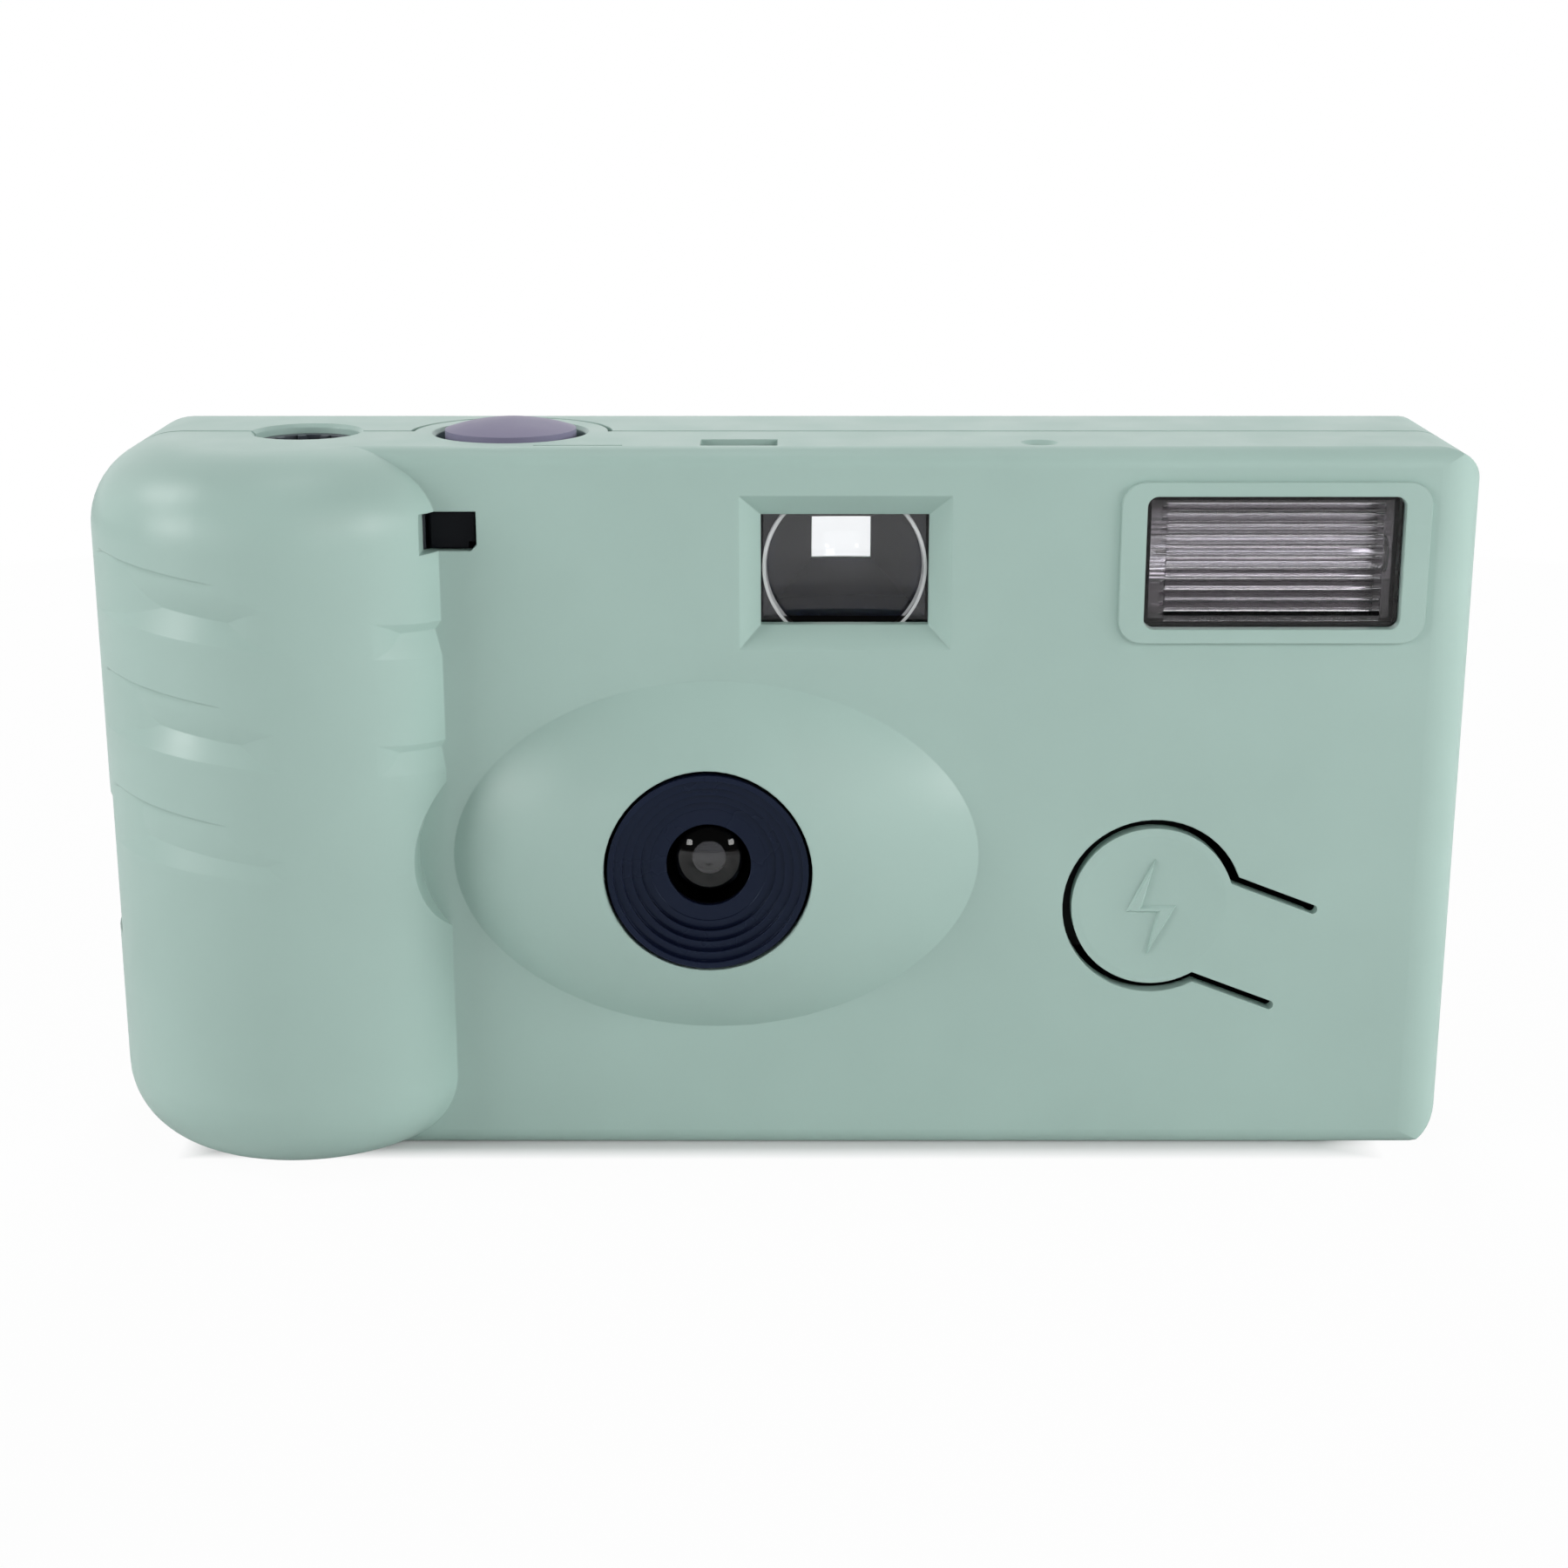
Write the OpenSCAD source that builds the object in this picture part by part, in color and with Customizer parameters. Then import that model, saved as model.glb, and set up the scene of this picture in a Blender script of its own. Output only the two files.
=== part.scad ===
// Disposable film camera with a hand grip and a built-in flash.
// The front faces -Y, the grip is at -X and the flash at +X. The base lies on Z = 0.

/* [Body] */
// Width of the body, grip included
body_w = 117; // [114:0.5:122]
// Height of the body without the shutter button
body_h = 62; // [61:0.5:66]
// Depth of the flat body, from its front face to its back
body_d = 24; // [23.5:0.5:28]
// Thickness of the moulded covers
wall = 1.4; // [1.2:0.1:1.6]
// Corner radius at the flash end, seen from the front
end_corner_r = 4; // [2:0.5:6]
// Radius of the upright front edge at the flash end
end_edge_r = 4; // [2:0.5:6]
// Radius of the front's top and bottom edges
front_edge_r = 1.6; // [1.5:0.1:2]
// Radius of the back's edges
rear_edge_r = 5; // [4:0.5:6]
// Visible gap between the two covers
seam_gap = 0.4; // [0.2:0.05:0.5]

/* [Grip] */
// How far the grip stands out in front of the body
grip_proud = 8.5; // [8:0.25:9.5]
// Radius of the grip about its upright axis
grip_r = 16; // [15.8:0.1:16.4]
// Corner radius at the grip's top and bottom
grip_corner_r = 7; // [5:0.5:8]
// Height of the uppermost finger groove's lower edge at the grip's axis
ring_top_z = 46.4; // [45:0.1:47]
// Distance from groove to groove
ring_pitch = 10.1; // [9.5:0.1:10.5]
// Number of finger grooves
ring_count = 3; // [1:1:3]
// Depth of the uppermost groove
ring_depth = 0.8; // [0.3:0.1:0.9]
// Height of a groove
ring_h = 5.4; // [5:0.1:6.5]
// Height of the ledge at a groove's lower side
ring_step = 2.4; // [1.5:0.1:3]
// Slope of the grooves, down towards the lens
ring_tilt = 8; // [0:1:10]
// Turn of the smooth strip's left edge from the front towards the lens
strip_turn_0 = 9.5; // [5:0.5:15]
// Turn of the smooth strip's right edge
strip_turn_1 = 31.5; // [25:0.5:35]

/* [Lens oval] */
// Place of the lens across the body
lens_x = -6.1; // [-7:0.1:-5]
// Height of the lens and the film's middle
lens_z = 26.9; // [26.5:0.1:27.5]
// Half width of the oval
oval_a = 22.5; // [21:0.5:23]
// Half height of the oval
oval_b = 15.5; // [14:0.5:16]
// How far the oval swells out of the front
oval_h = 6; // [5.5:0.1:6.5]
// Radius of the hollow that the oval leaves in the grip
scallop_r = 9.6; // [9:0.1:10]
// Outer radius of the black bezel
bezel_r = 8.5; // [8:0.1:9]
// Depth of the bezel's stepped funnel
funnel_d = 2.75; // [2.5:0.05:3]
// Number of steps in the funnel
funnel_steps = 5; // [3:1:7]
// Radius of the taking lens
lens_r = 3.9; // [3.5:0.1:4.2]
// Radius of the aperture
aperture_r = 1.3; // [1:0.1:1.8]

/* [Viewfinder] */
// Place of the viewfinder across the body
vf_x = 5.4; // [5:0.1:6]
// Height of the viewfinder below the top
vf_drop = 10.4; // [10.2:0.1:10.6]
// Width of the viewfinder's window
vf_w = 14.1; // [12:0.1:14.4]
// Height of the viewfinder's window
vf_h = 9.4; // [8:0.1:9.6]
// Width of the sloping frame round the window
vf_bevel = 1.8; // [1.2:0.1:2]
// Depth of the sloping frame
vf_bevel_d = 1.7; // [1.4:0.1:2]
// Width of the rear eyepiece
eyepiece_w = 7.2; // [6:0.1:8]
// Height of the rear eyepiece
eyepiece_h = 5.2; // [4.5:0.1:6]

/* [Flash] */
// Distance of the flash window's middle from the end of the body
flash_inset = 17.5; // [17:0.1:18]
// Distance of the flash window's middle from the top
flash_drop = 9.5; // [9.2:0.1:9.8]
// Width of the flash window
flash_w = 21.4; // [19:0.1:22]
// Height of the flash window
flash_h = 11.2; // [10.6:0.1:11.4]
// Border of the raised plate round the flash window
flash_border = 2.1; // [1.8:0.1:2.2]
// How far the plate stands out
flash_plate_t = 0.4; // [0.2:0.1:0.8]
// Corner radius of the flash window
flash_corner_r = 0.9; // [0.5:0.1:1.5]
// Number of ribs on the flash window
rib_count = 11; // [7:1:13]
// Radius of the flash tube
tube_r = 1.5; // [1.2:0.1:1.8]

/* [Flash button] */
// Distance of the flash button's middle from the end of the body
tongue_inset = 26.4; // [26:0.1:27]
// Height of the flash button's middle
tongue_z = 22.4; // [22:0.1:23]
// Radius of the round end of the tongue
tongue_r = 7; // [6.5:0.1:7.4]
// Width of the slot round the tongue
tongue_slot = 0.8; // [0.5:0.1:1]
// Width of the tongue's neck
neck_w = 8.6; // [7.5:0.1:9.5]
// Distance from the tongue's middle to its root
neck_l = 13; // [12:0.1:14]
// Slope of the neck below the horizontal
neck_angle = 21; // [15:1:25]
// Depth of the hollow for the fingertip
dish_d = 0.4; // [0.2:0.1:0.6]

/* [Shutter button] */
// Place of the shutter button across the body
button_x = -23.1; // [-23.4:0.1:-22.8]
// Radius of the shutter button
button_r = 5.6; // [5:0.1:6]
// Ring gap round the shutter button
button_gap = 0.8; // [0.5:0.1:0.9]
// How far the button's edge stands out of the top
button_proud = 0.3; // [0.2:0.05:0.5]
// Height of the button's dome above its edge
button_crown = 0.9; // [0.5:0.1:1.2]
// How far the button goes down
button_travel = 1; // [0.6:0.1:1]
// Radius of the button's stem
stem_r = 2.2; // [1.8:0.1:2.3]

/* [Film] */
// Distance of the cartridge's axis from the grip's outer side
hub_inset = 17.9; // [17.5:0.1:18.5]
// Radius of the film cartridge
cartridge_r = 12.5; // [12.3:0.1:12.7]
// Height of the film cartridge
cartridge_h = 47.2; // [46.8:0.1:47.6]
// Width of the film
film_w = 35; // [34.8:0.1:35]
// Width of a picture
frame_w = 36; // [34:0.5:36]
// Height of a picture
frame_h = 24; // [22:0.5:24]
// Thickness of the film
film_t = 0.2; // [0.1:0.05:0.2]
// Distance between perforations
perf_pitch = 4.75; // [4.7:0.01:4.8]
// Radius of the film wound on the feed spool
roll_r = 8.4; // [7:0.1:8.6]
// Number of sprocket teeth
sprocket_teeth = 8; // [6:1:8]
// Radius of the advance wheel
wheel_r = 13.9; // [13.5:0.1:14]
// Thickness of the advance wheel
wheel_t = 3.2; // [2.6:0.1:3.3]
// Number of ribs on the advance wheel's rim
wheel_ribs = 48; // [32:1:60]
// Radius of the hole in the top over the wheel's hub
hub_hole_r = 4.5; // [4:0.1:5]
// Radius of the counter dial
dial_r = 8.8; // [8.2:0.1:9]
// Number of notches on the counter dial
dial_notches = 36; // [24:1:40]

/* [Power] */
// Radius of the AA battery
battery_r = 7.25; // [7:0.05:7.25]
// Length of the AA battery with its nub
battery_l = 50.5; // [49:0.5:50.5]
// Radius of the flash capacitor
capacitor_r = 5.5; // [5:0.1:6]
// Length of the flash capacitor
capacitor_l = 26; // [20:0.5:26]

/* [Fits] */
// Gap between a turning shaft and its hole
shaft_gap = 0.05; // [0.03:0.01:0.08]
// Gap between parts that lie loosely side by side
loose_gap = 0.3; // [0.2:0.05:0.4]

/* [Hidden] */
$fn = 64;

// Overlap that keeps cuts open and joined solids whole
eps = 0.5;
// Small overlap of walls that join
lap = 0.1;
// Longer than any cut
far = 200;

// Main planes
half_w = body_w / 2;
y_grip = -(body_d + grip_proud) / 2;
y_face = y_grip + grip_proud;
y_back = y_face + body_d;
y_in_front = y_face + wall;
y_in_back = y_back - wall;
z_in_top = body_h - wall;

// Grip: upright axis, and the space inside it, which lies nearer to the front and the side
grip_x = -half_w + grip_r;
grip_y = y_grip + grip_r;
grip_wall = wall + 0.2;
grip_in_shift = 0.9;
grip_in_r = grip_r - grip_wall - grip_in_shift;
// Finger grooves: widest radius that they meet, how they get shallower, and where they end
ring_out_r = grip_r / cos(ring_tilt);
ring_fade = 0.2;
fade_proud = 0.03;
// Radii that fade the grooves out at the smooth strip and at the grip's side
strip_edge_r = 8;
side_edge_r = 13.4;
side_turn = -75;

// The cartridge, its drive and the hole in the top share one axis, on the seam
cartridge_gap = 0.2;
hub_x = -half_w + hub_inset;
hub_y = y_in_back - cartridge_gap - cartridge_r;
y_seam = hub_y;
cartridge_z0 = lens_z - cartridge_h / 2;
cartridge_z1 = lens_z + cartridge_h / 2;

// Film path
film_back_gap = 1;
film_y = y_in_back - film_back_gap;
film_z0 = lens_z - film_w / 2;
film_z1 = lens_z + film_w / 2;
gate_t = 1;
gate_y1 = film_y - film_t / 2 - 0.1;
gate_y0 = gate_y1 - gate_t;
deck_z0 = film_z1 + 0.6;
deck_t = 0.9;
deck_z1 = deck_z0 + deck_t;
floor_z1 = film_z0 - 0.6 - 0.6;
chamber_r = 12.8 / 12.5 * cartridge_r;
chamber_t = 1;
lip_x1 = hub_x + chamber_r + 0.6;

// Feed spool
feed_r = roll_r + 0.5;
feed_in_r = feed_r + loose_gap;
feed_out_r = feed_in_r + 1;
feed_x = half_w - wall - loose_gap - feed_out_r;
feed_y = film_y - film_t / 2 - loose_gap + 0.05 - roll_r;
feed_pin_r = 1.5;
feed_core_r = 3.4;

// Viewfinder
vf_z = body_h - vf_drop;
collar_t = 0.5;
collar_z0 = vf_z - vf_h / 2 - vf_bevel - collar_t;
collar_y1 = y_face + vf_bevel_d + 1;
vf_lens_t = 1.6;
vf_tunnel_y0 = collar_y1 + vf_lens_t;
vf_tunnel_t = 0.8;
eyepiece_t = 1.2;
eyepiece_y0 = y_in_back - eyepiece_t;

// Oval: its middle's shift from the lens, and the hollow that it leaves in the grip
oval_shift = 0.6;
scallop_x = lens_x - 15.2;
scallop_z = lens_z + 0.3;

// Light box between the shutter and the film
box_t = 1;
box_y0 = y_face + 2.55;
box_hole_r = 3;
box_wall_hw = 13;
box_wall_z0 = lens_z - 11.4;
box_wall_z1 = min(deck_z0, collar_z0 - loose_gap);

// Shutter
blade_t = 0.5;
blade_y1 = box_y0 - 0.25;
blade_y0 = blade_y1 - blade_t;
blade_pivot = [lens_x + 8, lens_z + 7];
blade_reach = [-5.4, 7.2];
blade_tip = blade_pivot + blade_reach;
blade_ear_x = blade_pivot[0] + 2.9;
pin_r = 1;
spring_peg_z = blade_pivot[1] + 7.8;
holder_t = 1;
holder_y1 = blade_y0 - 0.4;
holder_y0 = holder_y1 - holder_t;
holder_r = 11.2;
holder_posts = [[lens_x - 9.2, lens_z + 4], [lens_x - 5, lens_z - 9.2]];
barrel_y0 = holder_y0 - 2.2;
lens_y1 = holder_y0;
bezel_y1 = barrel_y0;
lens_lip = 0.3;

// Shutter lever on the deck
lever_x = lens_x - 0.6;
lever_y = box_y0 + 4.7;
lever_z0 = deck_z1 + loose_gap;
lever_t = 1;
lever_l = 5.2;
lever_angle = 12;
lever_pin_r = 1.2;
lever_hub_r = 1.9;

// Sprocket and counter
tooth_h = 0.5;
tooth_w = 1.2;
tooth_room = [5, 1];
sprocket_r = sprocket_teeth * perf_pitch / (2 * PI);
sprocket_tip_r = sprocket_r + tooth_h;
sprocket_x = lens_x - 10.1;
sprocket_y = film_y - film_t / 2 - loose_gap - sprocket_tip_r;
sprocket_z = film_z1 - 3.3;
sprocket_t = 1.2;
shaft_r = 1;
dial_x = lens_x + 0.6;
dial_y = y_in_front + loose_gap + 0.25 + dial_r;
dial_z1 = z_in_top - 0.9;
dial_t = 0.8;
dial_z0 = dial_z1 - dial_t;
dial_post_r = 1;
dial_pin_r = 0.8;
finger_l = norm([sprocket_x - dial_x, sprocket_y - dial_y]) - dial_r - 0.1;
finger_w = 1;
counter_x = -3.45;
counter_y = y_face + 3.55;
counter_w = 6.4;
counter_d = 3.4;
pane_t = 0.7;

// Advance wheel, low enough to clear the grip's round top
wheel_drop = 4.3;
wheel_z1 = z_in_top - wheel_drop;
wheel_z0 = wheel_z1 - wheel_t;
wheel_gap = 0.4;
hub_gap = 0.1;
hub_r = hub_hole_r - hub_gap;
hub_top_z = body_h - 0.8;
drive_r = 3.4;
fork_r = 2.8;
key_t = 1.2;
key_z0 = cartridge_z1 - 4.5;
key_z1 = cartridge_z1 - 2.5;
spool_bore_r = 3.1;
spool_stub_r = 4.4;
cap_t = 0.8;
bearing_z0 = cartridge_z1 + 0.6;
bearing_t = 1.2;

// Shutter button
button_y = y_seam - 0.15;
button_hole_r = button_r + button_gap;
button_z0 = body_h - 0.5;
button_z1 = body_h + button_proud;
stem_room = 3;
stem_z0 = deck_z1 + stem_room + button_travel;
guide_z1 = deck_z1 + 5.6;
guide_r = 4;
button_spring_r = 3.1;
cover_tab_r = button_hole_r + 1.9;

// Flash
flash_x = half_w - flash_inset;
flash_z = body_h - flash_drop;
flash_flange = 0.8;
flash_flange_t = 0.8;
flash_lens_gap = 0.1;
reflector_t = 0.4;
reflector_r = flash_h / 2 - 0.2;
reflector_y = y_in_front + flash_flange_t;
reflector_hw = flash_w / 2 - 0.2;
tube_y = reflector_y + 2.6;
tube_hl = reflector_hw + 2.6;

// Flash button
tongue_x = half_w - tongue_inset;
// Round groove across the root, inside, in which the tongue bends
root_groove_r = 0.45;

// Flash circuit
board_t = 1.2;
board_y0 = y_face + 3.95;
board_y1 = board_y0 + board_t;
board_x0 = lens_x + 20.1;
board_x1 = feed_x - feed_out_r - 0.8;
board_tab_x1 = flash_x - tube_hl - 0.5;
board_tab_z1 = deck_z1 + 5.1;
lamp_x = 21.6;
lamp_y = counter_y;
lamp_r = 1.2;
lamp_hole_r = 0.6;
lamp_sink_r = 1.6;
lamp_sink_d = 0.8;
blade_gap = 1.65;
switch_t = 0.2;

// Battery
battery_y = y_in_front + loose_gap + battery_r;
battery_z = wall + loose_gap + battery_r;
battery_x0 = lens_x - 16.4;
battery_x1 = battery_x0 + battery_l;
nub_l = 1.3;
nub_r = 2.7;
contact_t = 0.4;
contact_plus_half = [4, 4.5];
contact_minus_half = [5, 5.5];
contact_cone_r = [4.5, 3];
contact_spring_l = 1.5;
bay_t = 1;
board_z0 = battery_z + battery_r + 1.3;

// Pieces on the back of the flash board: distances from its edges and its face
capacitor_edge = 1.4;
capacitor_lift = 0.5;
transformer_size = [7.2, 8, 10.5];
transformer_edge = 0.2;
transformer_lift = 1.4;
cheek_t = 1.5;
winding_inset = 0.8;
coil_r = 2.9;
coil_l = 9;
coil_edge = 0.8;
coil_lift = transformer_lift + transformer_size[2] + 2.5;

// Openings that show what is inside
latch = [[-29.7, -25.2], [body_h - 8.5, body_h - 5.2]];
latch_recess = 0.6;
latch_gap = 0.2;
latch_chamfer = 0.5;
catch_x0 = latch[0][0] + 0.7;
catch_stem_x0 = latch[0][0] + 2.2;
catch_y1 = y_in_front + 2.2;
catch_foot_w = 1.2;
side_latch_y = [y_face + 1.25, y_face + 6.25];
side_latch_z = [19.6, 32];
hook_z = [22, 27.3];
hook_t = 1;
hook_root = 6;

// Finish of the top and the back
mouth_c = 0.3;
line_x = [-20.5, -13.1];
line_y = y_face + 1.95;
line_w = 0.35;
line_d = 0.4;
wheel_slot_hw = 6;
thumb_hw = 11;
thumb_hh = 5.5;
thumb_d = 0.6;
eyepiece_bevel = 0.8;

// Solid box between two corners
module block(low, high) {
  translate(low) cube(high - low);
}

// Pushes a drawing in X and Z along Y
module along_y(y0, y1) {
  translate([0, y1, 0]) rotate([90, 0, 0]) linear_extrude(y1 - y0) children();
}

// Pushes a drawing in Y and Z along X
module along_x(x0, x1) {
  translate([x0, 0, 0]) rotate([90, 0, 90]) linear_extrude(x1 - x0) children();
}

// Pushes a drawing in X and Y along Z
module along_z(z0, z1) {
  translate([0, 0, z0]) linear_extrude(z1 - z0) children();
}

// Round bar along Y
module bar_y(r, x, z, y0, y1) {
  translate([x, y0, z]) rotate([-90, 0, 0]) cylinder(r = r, h = y1 - y0);
}

// Round bar along X
module bar_x(r, y, z, x0, x1) {
  translate([x0, y, z]) rotate([0, 90, 0]) cylinder(r = r, h = x1 - x0);
}

// Round bar along Z
module bar_z(r, x, y, z0, z1) {
  translate([x, y, z0]) cylinder(r = r, h = z1 - z0);
}

// Rectangle with a radius for each corner: low left, low right, high right, high left
module rounded(low, high, radii) {
  corners = [low, [high[0], low[1]], high, [low[0], high[1]]];
  inward = [[1, 1], [-1, 1], [-1, -1], [1, -1]];
  difference() {
    translate(low) square(high - low);
    for (i = [0:3]) {
      if (radii[i] > 0) translate(corners[i]) translate(inward[i] * radii[i] / 2)
        square(radii[i], center = true);
    }
  }
  for (i = [0:3]) {
    if (radii[i] > 0) translate(corners[i] + inward[i] * radii[i]) circle(r = radii[i]);
  }
}

// Frustum between two upright rectangles, given as half sizes about a middle
module tapered_box(x, z, y0, half0, y1, half1) {
  intersection() {
    along_z(z - half0[1] - half1[1], z + half0[1] + half1[1])
      polygon([[x - half0[0], y0], [x + half0[0], y0], [x + half1[0], y1], [x - half1[0], y1]]);
    along_x(x - half0[0] - half1[0], x + half0[0] + half1[0])
      polygon([[y0, z - half0[1]], [y0, z + half0[1]], [y1, z + half1[1]], [y1, z - half1[1]]]);
  }
}

// Upright round form with round ends, turned from the left through the front
module upright_round(x, y, r, inset, angle) {
  corner = grip_corner_r - inset;
  translate([x, y, 0]) rotate([0, 0, 180]) rotate_extrude(angle = angle, $fn = 96)
    rounded([0, inset], [r, body_h - inset], [0, corner, corner, 0]);
}

// Section of a finger groove: a sloping ledge below, an arc that runs out above
module groove_section(depth) {
  reach = 0.6;
  slope = ring_step / depth;
  arc_r = (pow(ring_h - ring_step, 2) + depth * depth) / (2 * depth);
  inner = ring_out_r - depth - reach / 2;
  outer = ring_out_r + reach;
  difference() {
    polygon([
      [inner, ring_step + slope * reach / 2], [outer, -slope * reach], [outer, ring_h], [inner, ring_h]]);
    translate([ring_out_r - arc_r, ring_h]) circle(r = arc_r, $fn = 240);
  }
}

// Upright bar that just comes out of the grip at a turn from the front, where it ends a groove
module fade_bar(r, turn) {
  out = grip_r + fade_proud - r;
  bar_z(r, grip_x + out * sin(turn), grip_y - out * cos(turn), 0, body_h);
}

// Finger grooves on both flanks of the grip, down to the flat body
module finger_grooves() {
  difference() {
    for (k = [0:ring_count - 1]) {
      depth = ring_depth * (1 - ring_fade * k * (k + 1) / 2);
      translate([grip_x, grip_y, ring_top_z - k * ring_pitch]) rotate([0, ring_tilt, 0])
        rotate([0, 0, side_turn - 90]) rotate_extrude(angle = 90 - side_turn, $fn = 96) groove_section(depth);
    }
    block([grip_x, y_face, -far], [far, far, far]);
    // Smooth strip at the front, and the side
    translate([grip_x, grip_y, 0]) rotate([0, 0, strip_turn_0 - 90])
      rotate_extrude(angle = strip_turn_1 - strip_turn_0, $fn = 96) square([grip_r + ring_depth, body_h]);
    fade_bar(strip_edge_r, strip_turn_0);
    fade_bar(strip_edge_r, strip_turn_1);
    fade_bar(side_edge_r, side_turn);
  }
}

// Body without its grip: front, top and end outlines cut from each other
module main_form(inset) {
  left_r = grip_corner_r - inset;
  right_r = end_corner_r - inset;
  rear_r = rear_edge_r - inset;
  edge_r = max(front_edge_r - inset, 0);
  x0 = -half_w + inset;
  x1 = half_w - inset;
  y0 = y_face + inset;
  y1 = y_back - inset;
  intersection() {
    along_y(y_face, y_back) rounded([x0, inset], [x1, body_h - inset], [left_r, right_r, right_r, left_r]);
    along_z(0, body_h) difference() {
      rounded([x0, y0], [x1, y1], [0, end_edge_r - inset, rear_r, rear_r]);
      translate([x0 - eps, y0 - eps]) square([grip_x - x0 + eps, grip_y - y0 + eps]);
    }
    along_x(-half_w, half_w) rounded([y0, inset], [y1, body_h - inset], [edge_r, rear_r, rear_r, edge_r]);
  }
}

// Outer form of both covers, without the finger grooves
module outer_form() {
  main_form(0);
  upright_round(grip_x, grip_y, grip_r, 0, 180);
}

// Space inside both covers
module inner_form() {
  main_form(wall);
  upright_round(grip_x - grip_in_shift, grip_y - grip_in_shift, grip_in_r, wall, 360);
}

// Oval cap on the plane y = 0, towards -Y: an arc turned about a line across the body, shrunk by an inset
module oval_cap(wide, high, rise, inset, behind) {
  axis_d = (high * high - rise * rise) / (2 * rise);
  spin_r = axis_d + rise;
  arc_r = (wide * wide + rise * rise) / (2 * rise);
  intersection() {
    translate([0, axis_d, 0]) rotate([0, 90, 0]) rotate_extrude($fn = 180) intersection() {
      translate([spin_r - arc_r, 0]) circle(r = arc_r - inset, $fn = 240);
      translate([0, -wide - rise]) square([2 * spin_r, 2 * (wide + rise)]);
    }
    block([-wide - rise, -far, -high - rise], [wide + rise, behind, high + rise]);
  }
}

// Swelling round the lens, as far as a depth behind the front
module oval_form(inset, behind) {
  translate([lens_x + oval_shift, y_face, lens_z]) oval_cap(oval_a, oval_b, oval_h, inset, behind);
}

// Chamfer at the mouth of a hole in the top
module mouth(r, x, y) {
  translate([x, y, body_h - 2 * mouth_c]) cylinder(r1 = r - mouth_c, r2 = r + 2 * mouth_c, h = 3 * mouth_c);
}

// Space that the cartridge and the advance wheel need inside both covers
module winder_room() {
  bar_z(cartridge_r + cartridge_gap, hub_x, hub_y, cartridge_z0 - loose_gap, cartridge_z1 + loose_gap);
  bar_z(wheel_r + wheel_gap, hub_x, hub_y, wheel_z0 - wheel_gap, wheel_z1 + wheel_gap - 0.05);
}

// Everything that belongs to the front cover, grown by a gap
module front_zone(gap) {
  block([-far, -far, -far], [far, y_seam + gap, far]);
  bar_z(cover_tab_r + gap, button_x, button_y, z_in_top - 2, body_h + far);
}

// Outline of the flash button's tongue in X and Z, grown by a gap at its sides
module tongue_outline(gap) {
  translate([tongue_x, tongue_z]) {
    circle(r = tongue_r + gap);
    rotate(-neck_angle) {
      translate([0, -neck_w / 2 - gap]) square([neck_l, neck_w + 2 * gap]);
      // Round ends of the slot
      if (gap > 0) for (side = [-1, 1])
        translate([neck_l, side * (neck_w + gap) / 2]) circle(r = gap / 2, $fn = 24);
    }
  }
}

// Groove across the tongue's root, on the inside
module root_groove() {
  translate([tongue_x, y_in_front, tongue_z]) rotate([0, neck_angle, 0]) translate([neck_l, 0, 0])
    cylinder(r = root_groove_r, h = neck_w + tongue_slot, center = true, $fn = 32);
}

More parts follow.
